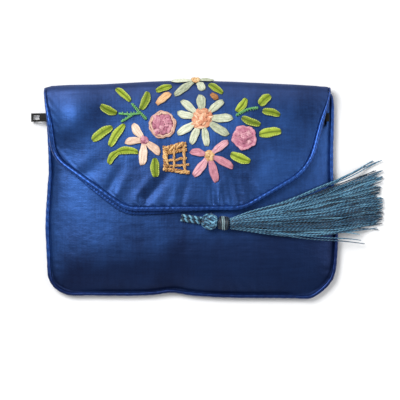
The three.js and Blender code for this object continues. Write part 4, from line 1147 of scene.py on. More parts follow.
@dataclass
class Cover:
    """The flap over the front, the piping on its edge and the turned facing below it."""

    form: FlapForm
    columns: int = 170
    rows: int = 110
    fold_rows: int = 26
    tail_rows: int = 6
    wall: float = 1.45
    fold_room: float = 0.8
    seam_overlap: float = 0.12
    crowding: int = 4
    tuck_depth: float = 0.14
    panel_width: float = 145.0
    panel_drop: float = 60.0
    piping_stations: int = 60
    piping_steps: int = 560
    fold_angles: tuple[float, ...] = (1.75, 1.3, 0.85, 0.4)
    facing_width: float = 5.0
    facing_swing: float = 1.7
    facing_lift: float = 0.8
    facing_flat: float = 0.13
    facing_steps: int = 240
    facing_rows: Rows = (
        (0.16, -1.0), (0.27, 0.7), (0.38, 1.0), (0.45, 0.7),
        (0.5, 0.15), (0.62, -0.6), (0.84, -1.0),
    )

    def flap(self, satin: bpy.types.Material) -> bpy.types.Object:
        """The flap's panel, over the fold and down to its tail on the back.

        Args:
            satin: Its material.

        Returns:
            The finished object.
        """
        form = self.form
        whole = self.rows + self.fold_rows + self.tail_rows
        bottom_share = self.rows / whole
        fold_share = (self.rows + self.fold_rows) / whole
        rows: dict[float, tuple[Vector, Vector]] = {}

        def place(across: float, along: float) -> Vector:
            """Point of the flap's upper face.

            Args:
                across: Share across the row.
                along: Share from the lower edge over the fold to the tail.

            Returns:
                The point in millimetres.
            """
            down = max(1 - along / bottom_share, 0.0)
            if down not in rows:
                rows[down] = (self._side(down, False), self._side(down, True))
            left, right = rows[down]
            here = left.lerp(right, across)
            start = form.fold_start(here.x)
            ends = form.fold_start(left.x) * (1 - across) + form.fold_start(right.x) * across
            if along <= bottom_share:
                v = min(here.y + (start - ends) * (1 - down), start - self.fold_room * down)
            else:
                turn = min((along - bottom_share) / (fold_share - bottom_share), 1.0)
                tail = max((along - fold_share) / (1 - fold_share), 0.0)
                v = start + turn * math.pi * form.fold + tail * form.tail + 1e-6
            return form.point(here.x, v, form.thickness - self.tuck(here.x, v, across, down))

        cloth = Cloth()
        cloth.patch(self.columns, whole, place)
        piece = cloth.finish("flap_panel", satin, "satin", ["flap"], wall=self.wall)
        return piece

    @staticmethod
    def slim(share: float) -> float:
        """How full the piping is at a share of the outline: thin where it goes over the fold."""
        full = 0.45 + 0.55 * smooth_step(min(share, 1 - share), 0.0, 0.08)
        return full * (1 - 0.1 * smooth_step(share, 0.6, 0.75))

    def _side(self, down: float, right: bool) -> Vector:
        """Where a row of the panel meets the piping.

        Args:
            down: The row's share of the way down a side.
            right: Whether it is the right side.

        Returns:
            The place across, with the length up the cloth as its y.
        """
        form = self.form
        span = 1 - form.bottom_span[1] if right else form.bottom_span[0]

        def at(share: float) -> Vector:
            """The seam at a share of the outline from this side's top."""
            share = 1 - share if right else share
            return form.edge(share, form.piping * self.slim(share) - self.seam_overlap)

        first = 0.0
        while at(first).y > form.fold_start(at(first).x) - 0.3:
            first += 0.0005
        meets = at(first + down * (span - first))
        rise = smooth_step(1 - down, 0, 1) ** self.crowding
        want = meets.y + (form.fold_start(meets.x) - meets.y) * rise
        high, low = 0.0, first + down * (span - first)
        for _ in range(18):
            middle = (high + low) / 2
            if at(middle).y > want:
                high = middle
            else:
                low = middle
        return Vector((at(low).x, want, 0))

    def tuck(self, x: float, v: float, across: float, down: float) -> float:
        """Depth of the small puckers along the flap's seam.

        Args:
            x: Place across, in millimetres.
            v: Length up the cloth.
            across: Share across the row.
            down: The row's share of the way down a side.

        Returns:
            The depth in millimetres.
        """
        near = min(across, 1 - across) * self.panel_width
        if down > 0.9:
            near = min(near, (1 - down) * self.panel_drop)
        wave = math.sin((x + v) * 1.3 + 2 * ripple(x, v, 8, 4.0))
        return self.tuck_depth * (1 + wave) * math.exp(-((near / 4) ** 2))

    def piping(self, satin: bpy.types.Material) -> bpy.types.Object:
        """Satin rolled over a thicker cord along the flap's edge.

        Args:
            satin: Its material.

        Returns:
            The finished object.
        """
        form = self.form
        radius = form.piping / 2
        lift = radius - 0.1
        points = []

        def round_fold(share: float, angle: float) -> None:
            """Adds a point where the piping goes over the fold.

            Args:
                share: End of the outline, 0 or 1.
                angle: Turn round the fold in radians.
            """
            x = form.edge(share, radius * self.slim(share)).x
            start = form.fold_start(x)
            outer = (form.underside(x, start) + form.thickness) / 2
            y = start + (form.fold - radius * 0.45) * math.sin(angle)
            points.append(Vector((x, y, outer + (outer + lift - radius) * math.cos(angle))))

        for angle in self.fold_angles:
            round_fold(0.0, angle)
        for step in range(1, self.piping_stations):
            share = step / self.piping_stations
            place = form.edge(share, radius * self.slim(share))
            points.append(Vector((place.x, place.y, form.underside(place.x, place.y) + lift)))
        for angle in reversed(self.fold_angles):
            round_fold(1.0, angle)
        line = smooth_line(points, self.piping_steps)
        cloth = Cloth()

        def reach(u: float, v: float) -> float:
            """Radius, thinner up the right side, with small tucks.

            Args:
                u: Share across or round, from 0 to 1.
                v: Share along, from 0 to 1.

            Returns:
                The radius in millimetres.
            """
            end = min(smooth_step(v, 0, 0.006), smooth_step(1 - v, 0, 0.006))
            slim = self.slim(min(max((v - 0.03) / 0.94, 0.0), 1.0))
            tuck = math.sin(v * 430 + 3 * math.sin(v * 37)) + 0.6 * math.sin(v * 211)
            return radius * slim * (0.3 + 0.7 * end) * (0.97 + 0.015 * tuck)

        cloth.tube(line, reach, 16)
        return cloth.finish("flap_edge_piping", satin, "satin_edge", ["flap_piping"])

    def facing(self, satin: bpy.types.Material) -> bpy.types.Object:
        """The turned edge that lies under the piping and shows below it.

        Args:
            satin: Its material.

        Returns:
            The finished object.
        """
        form = self.form
        first, last = self.facing_rows[0][0], self.facing_rows[-1][0]
        line, widths = [], []
        for step in range(self.facing_steps + 1):
            share = first + (last - first) * step / self.facing_steps
            out = run_at(self.facing_rows, 1, share) * self.facing_swing
            place = form.edge(share, (self.facing_width - out) / 2)
            height = form.rest(place.x, place.y) + self.facing_lift
            line.append(Vector((place.x, place.y, height)))
            widths.append((self.facing_width + out) / 2)
        cloth = Cloth()

        def reach(u: float, v: float) -> float:
            """Half the facing's width, with a slight wave at its edge.

            Args:
                u: Share across or round, from 0 to 1.
                v: Share along, from 0 to 1.

            Returns:
                The radius in millimetres.
            """
            width = widths[min(round(v * self.facing_steps), self.facing_steps)]
            end = min(smooth_step(v, 0, 0.01), smooth_step(1 - v, 0, 0.01))
            return width * (0.4 + 0.6 * end) * (1 + 0.015 * math.sin(v * 150))

        cloth.tube(line, reach, 20, flat=self.facing_flat)
        return cloth.finish("facing", satin, "satin_edge", ["flap_facing"])


@dataclass
class Zip:
    """The zip under the flap: woven tape, moulded teeth and black metal parts."""

    form: PurseForm
    tape_width: float = 8.0
    tooth_size: tuple[float, float, float] = (1.05, 1.5, 0.62)
    tooth_round: float = 0.14
    tooth_side: float = 0.55
    metal_edge: float = 0.16
    tooth_pitch: float = 1.9

    def tape(self, finish: bpy.types.Material) -> bpy.types.Object:
        """Tape and teeth as one piece.

        Args:
            finish: Its material.

        Returns:
            The finished object.
        """
        form = self.form
        cloth = Cloth()
        half = self.tape_width / 2

        def strip(u: float, v: float) -> Vector:
            """Closed strip: over its top while u is below a half, under it beyond.

            Args:
                u: Share across or round, from 0 to 1.
                v: Share along, from 0 to 1.

            Returns:
                The point in millimetres.
            """
            x = form.zip_start + 0.1 + (form.zip_end - form.zip_start - 0.2) * v
            level = form.front_height(x, form.zip_y)
            turn = 2 * math.pi * u
            y = half * math.copysign(abs(math.cos(turn)) ** 0.35, math.cos(turn))
            z = level - 0.75 + 0.4 * math.copysign(abs(math.sin(turn)) ** 0.6, math.sin(turn))
            return Vector((x, form.zip_y + y * 0.99, z))

        cloth.patch(20, 120, strip)
        count = int((form.zip_end - form.zip_start - 6) / self.tooth_pitch)
        for tooth in range(count):
            x = form.zip_start + 3 + tooth * self.tooth_pitch
            for side in (-1, 1):
                here = x + (self.tooth_pitch / 2 if side > 0 else 0.0)
                level = form.front_height(here, form.zip_y) + 0.02
                self._tooth(cloth.mesh, Vector((here, form.zip_y + side * self.tooth_side, level)))
        return cloth.finish("zip_band", finish, "zip_cloth", ["zip_tape"])

    def _tooth(self, mesh: bmesh.types.BMesh, centre: Vector) -> None:
        """Adds one rounded tooth.

        Args:
            mesh: The mesh it goes into.
            centre: Its centre in millimetres.
        """
        size = Matrix.Diagonal((*(side * MM for side in self.tooth_size), 1.0))
        made = bmesh.ops.create_cube(mesh, size=1.0, matrix=Matrix.Translation(centre * MM) @ size)
        edges = list({edge for vert in made["verts"] for edge in vert.link_edges})
        bmesh.ops.bevel(
            mesh, geom=edges, offset=self.tooth_round * MM, offset_type="OFFSET", affect="EDGES",
            segments=1, profile=0.5, material=-1,
        )

    def fittings(self, nodes: dict, black: bpy.types.Material, nickel: bpy.types.Material) -> None:
        """Dresses the metal parts that keep their own solids.

        Args:
            nodes: The frame's nodes by name.
            black: Finish of the zip's metal.
            nickel: Finish of the snap.
        """
        for name in ("zip_slider", "zip_pull", "zip_end_stop", "flap_snap"):
            piece = nodes[name]
            piece.data.materials.clear()
            piece.data.materials.append(nickel if name == "flap_snap" else black)
            weld = piece.modifiers.new("weld", "WELD")
            weld.merge_threshold = 2e-6
            edge = piece.modifiers.new("edge", "BEVEL")
            edge.width, edge.segments, edge.limit_method = self.metal_edge * MM, 2, "ANGLE"
            LOG.info("%s keeps its solid", name)


@dataclass
class Tassel:
    """A wrapped loop, a woven knot, a wound neck and a skirt of twisted threads."""

    form: PurseForm
    strands: int = 240
    steps: int = 32
    skirt_length: float = 82.0
    spread: float = 27.0
    thickness: float = 5.2
    heading: float = -6.0
    neck: tuple[float, float] = (5.34, -16.12)
    root: tuple[float, float] = (-4.87, -14.5)
    head_length: float = 8.8
    wrap_length: float = 5.4
    lie: float = 0.4
    knot_rise: float = 3.87
    neck_rise: float = 3.1
    neck_radius: float = 3.45
    cord: float = 0.58
    cord_twist: float = 0.48
    thread: float = 0.34
    stray_every: int = 14
    skirt_rows: Rows = (
        (0.0, 0.0, 0.1, 1.0), (0.13, 0.04, 0.2, 0.85), (0.36, 0.07, 0.34, 0.7),
        (0.6, 0.14, 0.45, 0.62), (0.84, 0.25, 0.5, 0.56), (1.0, 0.31, 0.52, 0.42),
    )

    def along(self, distance: float, rise: float) -> Vector:
        """Point on the tassel's axis at a distance from its neck, a rise over the front.

        Args:
            distance: Distance from the neck.
            rise: Height over the front.

        Returns:
            The point in millimetres.
        """
        turn = math.radians(self.heading)
        x = self.neck[0] + distance * math.cos(turn)
        y = self.neck[1] + distance * math.sin(turn)
        return Vector((x, y, self.form.front_height(x, y) + rise))

    def loop(self, silk: bpy.types.Material) -> bpy.types.Object:
        """Two cords side by side, each bound round with thread.

        Args:
            silk: Its material.

        Returns:
            The finished object.
        """
        start = Vector((*self.root, self.form.front_height(*self.root) + 1.45))
        end = self.along(0.3, 1.75)
        aside = Vector((-(end - start).y, (end - start).x, 0)).normalized()
        cloth = Cloth()
        for side, tone in ((-1, 0.35), (1, 0.6)):
            line = [start.lerp(end, step / 70) + aside * (side * 1.0) for step in range(71)]
            for ply in range(2):
                wound = []
                for step, spot in enumerate(line):
                    turn = step / 70 * 2 * math.pi * 3.5 + math.pi * ply + side
                    twist = aside * (self.cord_twist * math.cos(turn))
                    twist += Vector((0, 0, self.cord_twist * math.sin(turn)))
                    wound.append(spot + twist)
                cloth.tube(wound, lambda u, v: self.cord, 10, tone=tone + 1.1 * ply - 0.5)
        return cloth.finish("loop_cords", silk, "tassel_silk", ["tassel_loop"])

    def head(self, silk: bpy.types.Material) -> bpy.types.Object:
        """A woven knot: one thread that crosses over and under itself round a core.

        Args:
            silk: Its material.

        Returns:
            The finished object.
        """
        middle = self.along(0.3 + self.head_length / 2, self.lie + self.knot_rise)
        turn = math.radians(self.heading)
        axis = Vector((math.cos(turn), math.sin(turn), 0))
        aside = Vector((-axis.y, axis.x, 0))
        up = Vector((0, 0, 1))
        cloth = Cloth()
        half = self.head_length / 2 - 0.9

        def ball(angle: float, along: float, reach: float) -> Vector:
            """Point round the knot at a share along it from -1 to 1.

            Args:
                angle: Turn round the knot in radians.
                along: Share along it, from -1 to 1.
                reach: Radius at its middle.

            Returns:
                The point in millimetres.
            """
            round_part = math.sqrt(max(1 - (along * 0.86) ** 2, 0.02)) * reach
            return (
                middle + axis * (along * half) + aside * (math.cos(angle) * round_part)
                + up * (math.sin(angle) * round_part * 0.86)
            )

        def core(u: float, v: float) -> Vector:
            """Point of the core, drawn to a pole at each end."""
            return ball(2 * math.pi * u, 2 * v - 1, 3.1 if 0 < v < 1 else 0.0)

        cloth.patch(24, 14, core, 0.1)
        for strand in range(3):
            line = []
            for step in range(361):
                t = 2 * math.pi * step / 360
                along = math.sin(5 * t + strand * 2.1)
                weave = 0.28 * math.cos(8 * t + strand * 1.3)
                line.append(ball(3 * t + strand * 0.7, along, 3.4 + weave * 1.3))
            cloth.tube(line, lambda u, v: 0.66, 8, tone=0.15 + 0.4 * strand)
        return cloth.finish("woven_knot", silk, "tassel_silk", ["tassel_head"])

    def wrap(self, silk: bpy.types.Material) -> bpy.types.Object:
        """Thread wound round the neck of the skirt, with one light turn.

        Args:
            silk: Its material.

        Returns:
            The finished object.
        """
        start = 0.6 + self.head_length
        rise = self.lie + self.neck_rise
        centre = [self.along(start + self.wrap_length * step / 8, rise) for step in range(9)]
        line = even_points(centre, 110)
        cloth = Cloth()

        def reach(u: float, v: float) -> float:
            """Radius with a groove between the turns of thread."""
            end = 0.82 + 0.18 * min(smooth_step(v, 0, 0.2), smooth_step(1 - v, 0, 0.14))
            return self.neck_radius * end + 0.14 * abs(math.sin(v * math.pi * 9 + u * math.pi))

        cloth.tube(line, reach, 28, flat=0.86, tone=0.15)
        ring = []
        for step in range(61):
            angle = 2 * math.pi * step / 60 * 1.5
            point = self.along(start + 1.9 + 1.3 * step / 60, rise)
            point += Vector((0, math.cos(angle) * 3.5, math.sin(angle) * 3.05))
            ring.append(point)
        cloth.tube(ring, lambda u, v: 0.28, 6, tone=1.0)
        return cloth.finish("wound_neck", silk, "tassel_dark", ["tassel_wrap"])

    def skirt(self, silk: bpy.types.Material) -> bpy.types.Object:
        """Loose twisted threads that fan out over the side and down to the surface.

        Args:
            silk: Its material.

        Returns:
            The finished object.
        """
        dice = random.Random(17)
        cloth = Cloth()
        start = self.along(self.head_length + self.wrap_length + 1.3, 0)
        for strand in range(self.strands):
            side = max(min(dice.gauss(0.05, 0.5), 1.0), -1.0)
            layer = dice.random()
            stray = strand % self.stray_every == 0
            if stray:
                length = self.skirt_length * dice.uniform(0.84, 0.97)
                aside = math.copysign(dice.uniform(3.5, 8.0), side)
            else:
                length = self.skirt_length * dice.uniform(0.93, 1.0)
                aside = dice.uniform(-1.6, 2.4)
            if side < -0.45 and not stray:
                aside += (-0.45 - side) * dice.uniform(6, 12)
            if side > 0.2:
                aside += (side - 0.2) * dice.uniform(2, 16)
            phase, pace = dice.uniform(0, ROUND), dice.uniform(2.2, 5.0)
            curl, lift = dice.uniform(0.15, 1.0), dice.uniform(0.0, 1.0)
            tone = min(max(dice.gauss(0.42, 0.4), -0.1), 1.1)
            line = []
            for step in range(self.steps + 1):
                t = step / self.steps
                along = t * length / self.skirt_length
                x = start.x + t * length
                fan = run_at(self.skirt_rows, 2, along) * self.spread * 0.93
                drift = run_at(self.skirt_rows, 1, along) * self.spread
                wave = math.sin(t * pace * math.pi + phase) * curl * (0.15 + 1.1 * t)
                y = start.y + drift + side * fan + aside * t**2.2 + wave
                deep = run_at(self.skirt_rows, 3, along) * self.thickness
                up = (y + self.form.half_height) / (2 * self.form.half_height)
                edge = self.form.right(up) + 1.5
                fall = 1 - smooth_step(x, edge, edge + 17)
                top = self.form.seam + self.form.piping / 2
                base = (soft_max(self.form.front_height(x, y), top, 1) + 0.4) * fall
                room = deep * math.sqrt(max(1 - (side * 0.95) ** 2, 0.05))
                low = (deep - room) / 2
                z = base + 0.32 + low + max(room - 0.64, 0.1) * layer
                z += 0.5 * lift * math.sin(t * pace * 2.3 + phase * 2) ** 2 * t * (1 - 0.5 * t)
                line.append(Vector((x, y, max(z, 0.32))))
            smooth = smooth_line(line, self.steps + 6)
            cloth.tube(smooth, lambda u, v: self.thread * (1 - 0.35 * v**6), 5, tone=tone)
        return cloth.finish("skirt_threads", silk, "tassel_silk", ["tassel_skirt"])


@dataclass(frozen=True)
class Stitch:
    """One ribbon stitch on the flap: its two ends, its width and how it lies."""

    x: float
    y: float
    to_x: float
    to_y: float
    width: float
    bow: float = 0.0


LEAF_STITCHES: dict[str, Stitch] = {
    "leaf_a": Stitch(-39.4, 53.5, -31.8, 47.1, 3.2, 0.4),
    "leaf_b": Stitch(-47.5, 44.6, -39.0, 40.6, 4.2, -0.5),
    "leaf_c": Stitch(-22.5, 51.9, -26.3, 42.6, 4.2, 0.6),
    "leaf_d": Stitch(-51.8, 26.2, -41.4, 33.4, 4.6, 0.5),
    "leaf_e": Stitch(-42.6, 23.2, -34.9, 34.8, 4.2, 0.6),
    "leaf_f": Stitch(-43.2, 13.9, -37.6, 20.6, 3.6, 0.9),
    "leaf_g": Stitch(-18.4, 6.9, -18.8, 16.8, 4.6, 0.2),
    "leaf_h": Stitch(-18.2, 52.4, -10.0, 54.8, 3.0, 0.3),
    "leaf_i": Stitch(9.6, 55.6, 17.0, 51.3, 3.0, 0.2),
    "leaf_j": Stitch(24.3, 41.5, 29.4, 48.4, 4.0, -0.5),
    "leaf_k": Stitch(36.5, 45.1, 42.1, 50.1, 4.6, 0.4),
    "leaf_l": Stitch(38.1, 41.9, 47.3, 39.7, 3.8, 0.4),
    "leaf_m": Stitch(27.1, 38.3, 36.9, 34.6, 3.8, -0.4),
    "leaf_n": Stitch(36.3, 29.3, 47.8, 31.1, 4.8, 0.4),
    "leaf_o": Stitch(21.2, 19.0, 31.4, 15.0, 4.8, -0.3),
    "leaf_p": Stitch(-39.8, 19.6, -27.6, 19.9, 3.8, 1.3),
}
STEM_RUNS: dict[str, tuple[tuple[float, float, float, float], ...]] = {
    "stem_left": (
        (-31.2, 45.8, -27.1, 41.3), (-27.6, 41.8, -23.3, 37.4),
        (-38.0, 40.5, -26.7, 40.6), (-36.7, 36.1, -29.8, 40.6),
    ),
    "stem_right": ((24.0, 39.3, 29.0, 42.2), (28.4, 42.0, 35.7, 43.6)),
}
BASKET_RUNS: tuple[tuple[float, float, float, float, float], ...] = (
    (-14.3, 21.6, -2.4, 24.2, 1.4),
    (-13.5, 19.3, -2.0, 21.4, 0.95),
    (-13.3, 15.2, -2.0, 16.8, 0.65),
    (-13.0, 12.5, -0.8, 13.4, 0.6),
    (-14.3, 10.9, -0.6, 9.2, 1.05),
    (-13.4, 22.0, -12.9, 10.4, 1.3),
    (-8.8, 22.7, -8.8, 9.9, 0.6),
    (-3.6, 23.9, -3.1, 9.3, 0.7),
)
BASKET_ROWS = 5
PEACH_PETAL = Stitch(-17.9, 45.5, -10.8, 51.3, 3.6, 0.3)
BROWN_PETAL = Stitch(10.8, 50.9, 14.0, 47.9, 2.8, 0.2)


@dataclass(frozen=True)
class Bloom:
    """A flower of ribbon petals round a centre: x, y, radius, and each petal's tip and width."""

    x: float
    y: float
    radius: float
    petals: tuple[tuple[float, float, float], ...]


DAISY = Bloom(6.1, 38.0, 6.6, (
    (5.3, 50.3, 4.6), (17.3, 47.0, 3.7), (22.1, 38.5, 4.2), (19.8, 29.0, 4.2), (8.5, 23.2, 3.6),
    (0.2, 24.4, 3.8), (-6.9, 29.7, 4.0), (-6.9, 40.7, 3.8), (-4.7, 47.3, 3.8),
))
FOLD_FLOWER = Bloom(2.7, 57.5, 2.4, (
    (-9.9, 57.4, 2.6), (-8.5, 50.3, 3.4), (6.9, 52.9, 3.8), (12.2, 57.7, 2.4),
))
BLUSH_FLOWER = Bloom(-24.5, 26.2, 2.6, (
    (-30.5, 34.8, 4.2), (-34.5, 25.3, 3.8), (-25.4, 13.2, 4.2), (-16.2, 19.1, 4.0),
))
PINK_FLOWER = Bloom(9.9, 18.4, 3.0, (
    (0.0, 20.4, 3.8), (19.8, 25.6, 3.6), (22.3, 11.9, 3.8), (1.6, 7.5, 4.2), (13.7, 4.3, 4.2),
))
DAISY_CENTRE = (6.1, 38.0, 6.4)
FOLD_CENTRE = (2.7, 57.5, 2.3)
BLUSH_CENTRE = (-24.5, 26.2, 2.5)
PINK_CENTRE = (9.9, 18.4, 3.0)
ROSE_LEFT = (-14.76, 34.57, 6.5)
ROSE_LEFT_EDGE = (-14.76, 34.57, 6.8)
ROSE_RIGHT = (28.34, 27.67, 6.9)


@dataclass
class Embroidery:
    """Ribbon leaves, petals, gathered roses, stems and a thread basket on the flap."""

    form: FlapForm
    dice: random.Random = field(default_factory=lambda: random.Random(5))

    def over(self, x: float, v: float, rise: float) -> Vector:
        """Point over the flap's upper face."""
        return self.form.point(x, v, self.form.thickness + rise)

    def round_over(self, middle: Vector, angle: float, reach: float, rise: float) -> Vector:
        """Point over the flap, at an angle and a reach from a middle."""
        x, v = middle.x + math.cos(angle) * reach, middle.y + math.sin(angle) * reach
        return self.over(x, v, rise)

    def ribbon(self, cloth: Cloth, stitch: Stitch, leaf: bool, height: float = 1.1) -> None:
        """Adds one ribbon stitch that bows up between its ends.

        Args:
            cloth: The mesh it goes into.
            stitch: Where it lies.
            leaf: Whether it is a leaf, folded along its middle, or a petal with soft pleats.
            height: How far its middle stands over the flap.
        """
        form = self.form
        start = Vector((stitch.x, form.cloth_length(stitch.x, stitch.y)))
        end = Vector((stitch.to_x, form.cloth_length(stitch.to_x, stitch.to_y)))
        along = end - start
        aside = Vector((-along.y, along.x)).normalized()
        phase = self.dice.uniform(0, ROUND)
        lean = self.dice.uniform(-0.25, 0.25)
        pleat = self.dice.uniform(0.08, 0.16)
        slant = self.dice.choice((-1, 1)) * self.dice.uniform(0.3, 0.9)

        def place(u: float, v: float) -> Vector:
            """Point of the ribbon.

            Args:
                u: Share across or round, from 0 to 1.
                v: Share along, from 0 to 1.

            Returns:
                The point in millimetres.
            """
            w = 2 * u - 1
            belly = math.sin(math.pi * min(v ** 0.9, 1.0)) ** 0.5 if 0 < v < 1 else 0.0
            blunt = 0.6 + 0.42 * smooth_step(v, 0, 0.5)
            blunt *= 1 - 0.58 * max((v - 0.66) / 0.34, 0.0) ** 2
            half = stitch.width / 2 * ((0.25 + 0.77 * belly) if leaf else blunt)
            half *= 1 + 0.06 * math.sin(11 * v + phase + w)
            tip = 0.5 * w * slant * max((v - 0.6) / 0.4, 0.0) if not leaf else 0.0
            spot = start + along * (v + tip / along.length)
            spot += aside * (w * half + stitch.bow * math.sin(math.pi * v))
            bow = math.sin(math.pi * min(max(v, 0.0), 1.0)) ** 0.45 if 0 < v < 1 else 0.0
            rise = 0.3 + height * bow * (1 - 0.55 * w * w + lean * w)
            if leaf:
                rise -= 0.4 * bow * math.exp(-((w / 0.2) ** 2))
            else:
                rise -= 0.42 * bow * math.exp(-(((w - slant * (2 * v - 1)) / 0.26) ** 2))
            rise += pleat * math.cos(w * 7.5 + phase + 2.5 * v) * (0.35 + 0.65 * bow)
            return self.over(spot.x, spot.y, rise)

        cloth.patch(16, 26, place, self.dice.uniform(0.2, 0.85))

    def leaves(self, finish: bpy.types.Material) -> bpy.types.Object:
        """All the leaves.

        Args:
            finish: Its material.

        Returns:
            The finished object.
        """
        cloth = Cloth()
        for stitch in LEAF_STITCHES.values():
            self.ribbon(cloth, stitch, leaf=True)
        return cloth.finish("leaves", finish, "leaf_ribbon", list(LEAF_STITCHES), wall=RIBBON_WALL)

    def single(self, name: str, stitch: Stitch, finish: bpy.types.Material) -> bpy.types.Object:
        """One loose petal.

        Args:
            name: The CAD node's name.
            stitch: Where it lies.
            finish: Its material.

        Returns:
            The finished object.
        """
        cloth = Cloth()
        self.ribbon(cloth, stitch, leaf=False)
        slot = "peach_ribbon" if name == "petal_peach" else "brown_ribbon"
        return cloth.finish(name + "_ribbon", finish, slot, [name], wall=RIBBON_WALL)

    def petals(
        self, name: str, bloom: Bloom, finish: bpy.types.Material, slot: str
    ) -> bpy.types.Object:
        """A flower's petals, from under its centre to their tips.

        Args:
            name: The CAD node's name.
            bloom: Its centre and its petals.
            finish: Its material.
            slot: A material slot's name, handed on to finish, which does not use it.

        Returns:
            The finished object.
        """
        cloth = Cloth()
        centre = Vector((bloom.x, bloom.y))
        for x, y, width in bloom.petals:
            tip = Vector((x, y))
            root = centre + (tip - centre).normalized() * bloom.radius * 0.62
            stitch = Stitch(root.x, root.y, x, y, width, self.dice.uniform(-0.5, 0.5))
            self.ribbon(cloth, stitch, leaf=False, height=1.0)
        return cloth.finish(name + "_petals", finish, slot, [name], wall=RIBBON_WALL)

    def gathered(
        self,
        name: str,
        centre: tuple[float, float, float],
        height: float,
        finish: bpy.types.Material,
        slot: str,
        replaced: Sequence[str] = (),
        rings: int = 0,
    ) -> bpy.types.Object:
        """Ribbon heaped over a domed base, with rings of ruffles round it in a rose.

        Args:
            name: The piece's name.
            centre: Its x, y and radius.
            height: Its height over the flap.
            finish: Its material.
            slot: A material slot's name, handed on to finish, which does not use it.
            replaced: CAD nodes that it stands for.
            rings: Rings of ruffles.

        Returns:
            The finished object.
        """
        x, y, radius = centre
        middle = Vector((x, self.form.cloth_length(x, y)))
        bend = radius**2 / (2 * self.form.fold) if middle.y > self.form.fold_start(x) else 0.0
        cloth = Cloth()

        def dome(u: float, v: float) -> Vector:
            """Base under the ruffles.

            Args:
                u: Share across or round, from 0 to 1.
                v: Share along, from 0 to 1.

            Returns:
                The point in millimetres.
            """
            reach = radius * 0.86 * math.sin(v * math.pi / 2)
            rise = 0.35 + bend + height * 0.55 * math.cos(v * math.pi / 2)
            angle = 2 * math.pi * u
            return self.round_over(middle, angle, reach, rise)

        cloth.patch(28, 8, dome, 0.2)
        for ring in range(rings):
            share = 1 - 0.24 * ring
            self._ruffle(cloth, middle, radius * share, radius * 0.3, height, bend, share)
        self._heap(cloth, middle, radius * (1 - 0.2 * rings), height, bend, rings > 0)
        return cloth.finish(name, finish, slot, replaced, wall=GATHER_WALL)

    def rim(
        self, centre: tuple[float, float, float], finish: bpy.types.Material
    ) -> bpy.types.Object:
        """Turned edge of pale ribbon round the left rose.

        Args:
            centre: Its x, y and radius.
            finish: Its material.

        Returns:
            The finished object.
        """
        x, y, radius = centre
        level = self.form.cloth_length(x, y)
        cloth = Cloth()

        def rolled(u: float, v: float) -> float:
            """Radius of the turned edge, with small tucks."""
            return 0.5 + 0.1 * math.sin(v * 90 + ROUND * u)

        for turn, (inset, rise) in enumerate(((0.0, 0.75), (0.75, 1.15))):
            line = []
            for step in range(141):
                angle = 2 * math.pi * step / 140 * 1.01
                wave = 0.7 * ripple(math.cos(angle) * 5, math.sin(angle) * 5, 2.6, turn)
                reach = radius - inset + wave + 0.16 * math.sin(8 * angle + turn)
                spot = Vector((x + math.cos(angle) * reach, level + math.sin(angle) * reach))
                line.append(self.over(spot.x, spot.y, rise + 0.12 * math.sin(11 * angle)))
            cloth.tube(line, rolled, 10, tone=0.2 + 0.2 * turn)
        return cloth.finish("rose_left_rim", finish, "rose_ribbon")

    def _heap(
        self, cloth: Cloth, middle: Vector, reach: float, height: float, bend: float, curled: bool
    ) -> None:
        """Adds short arched folds of ribbon heaped inside a circle, curled round it in a rose.

        Args:
            cloth: The mesh it goes into.
            middle: The heap's middle on the cloth.
            reach: Its radius.
            height: Its height over the flap.
            bend: Extra height where the flap goes over the fold.
            curled: Whether the folds curl round the middle.
        """
        dice = self.dice
        for _ in range(max(round(reach**2 * 0.7), 7)):
            angle, out = dice.uniform(0, ROUND), reach * 0.8 * math.sqrt(dice.random())
            spot = middle + Vector((math.cos(angle) * out, math.sin(angle) * out))
            if curled:
                heading = angle + math.pi / 2 + dice.uniform(-0.5, 0.5)
            else:
                heading = dice.uniform(0, 3.14)
            ahead = Vector((math.cos(heading), math.sin(heading)))
            aside = Vector((-ahead.y, ahead.x))
            length, width = dice.uniform(0.5, 1.0) * min(reach, 5.0), dice.uniform(1.1, 2.3)
            base = bend + height * (0.72 - 0.5 * (out / reach) ** 2) + dice.uniform(-0.15, 0.2)
            phase, arch = dice.uniform(0, ROUND), dice.uniform(0.6, 1.0)

            def place(u: float, v: float) -> Vector:
                """Point of the fold.

                Args:
                    u: Share across or round, from 0 to 1.
                    v: Share along, from 0 to 1.

                Returns:
                    The point in millimetres.
                """
                t, w = 2 * v - 1, 2 * u - 1
                sideways = w * width / 2 * (1 - 0.45 * t * t)
                here = spot + ahead * (t * length / 2) + aside * sideways
                here += aside * (0.35 * length * (1 - t * t) if curled else 0.0)
                from_middle = here - middle
                if from_middle.length > reach * 1.08:
                    here = middle + from_middle.normalized() * reach * 1.08
                rise = base + arch * (1 - t * t) * (1 - 0.5 * w * w)
                rise += 0.14 * math.cos(5 * w + phase)
                return self.over(here.x, here.y, max(rise, 0.2))

            cloth.patch(8, 10, place, dice.uniform(0.05, 0.95))

    def _ruffle(
        self,
        cloth: Cloth,
        middle: Vector,
        reach: float,
        width: float,
        height: float,
        bend: float,
        share: float,
    ) -> None:
        """Adds one ring of gathered ribbon.

        Args:
            cloth: The mesh it goes into.
            middle: The rose's middle on the cloth.
            reach: Radius of the ring.
            width: The ribbon's width.
            height: Its height over the flap.
            bend: Extra height where the flap goes over the fold.
            share: The ring's radius as a share of the rose's.
        """
        count = self.dice.choice((5, 6, 7))
        phase, swirl = self.dice.uniform(0, ROUND), self.dice.uniform(0, ROUND)
        rise_to = bend + 0.45 + height * (1 - 0.72 * share**2)

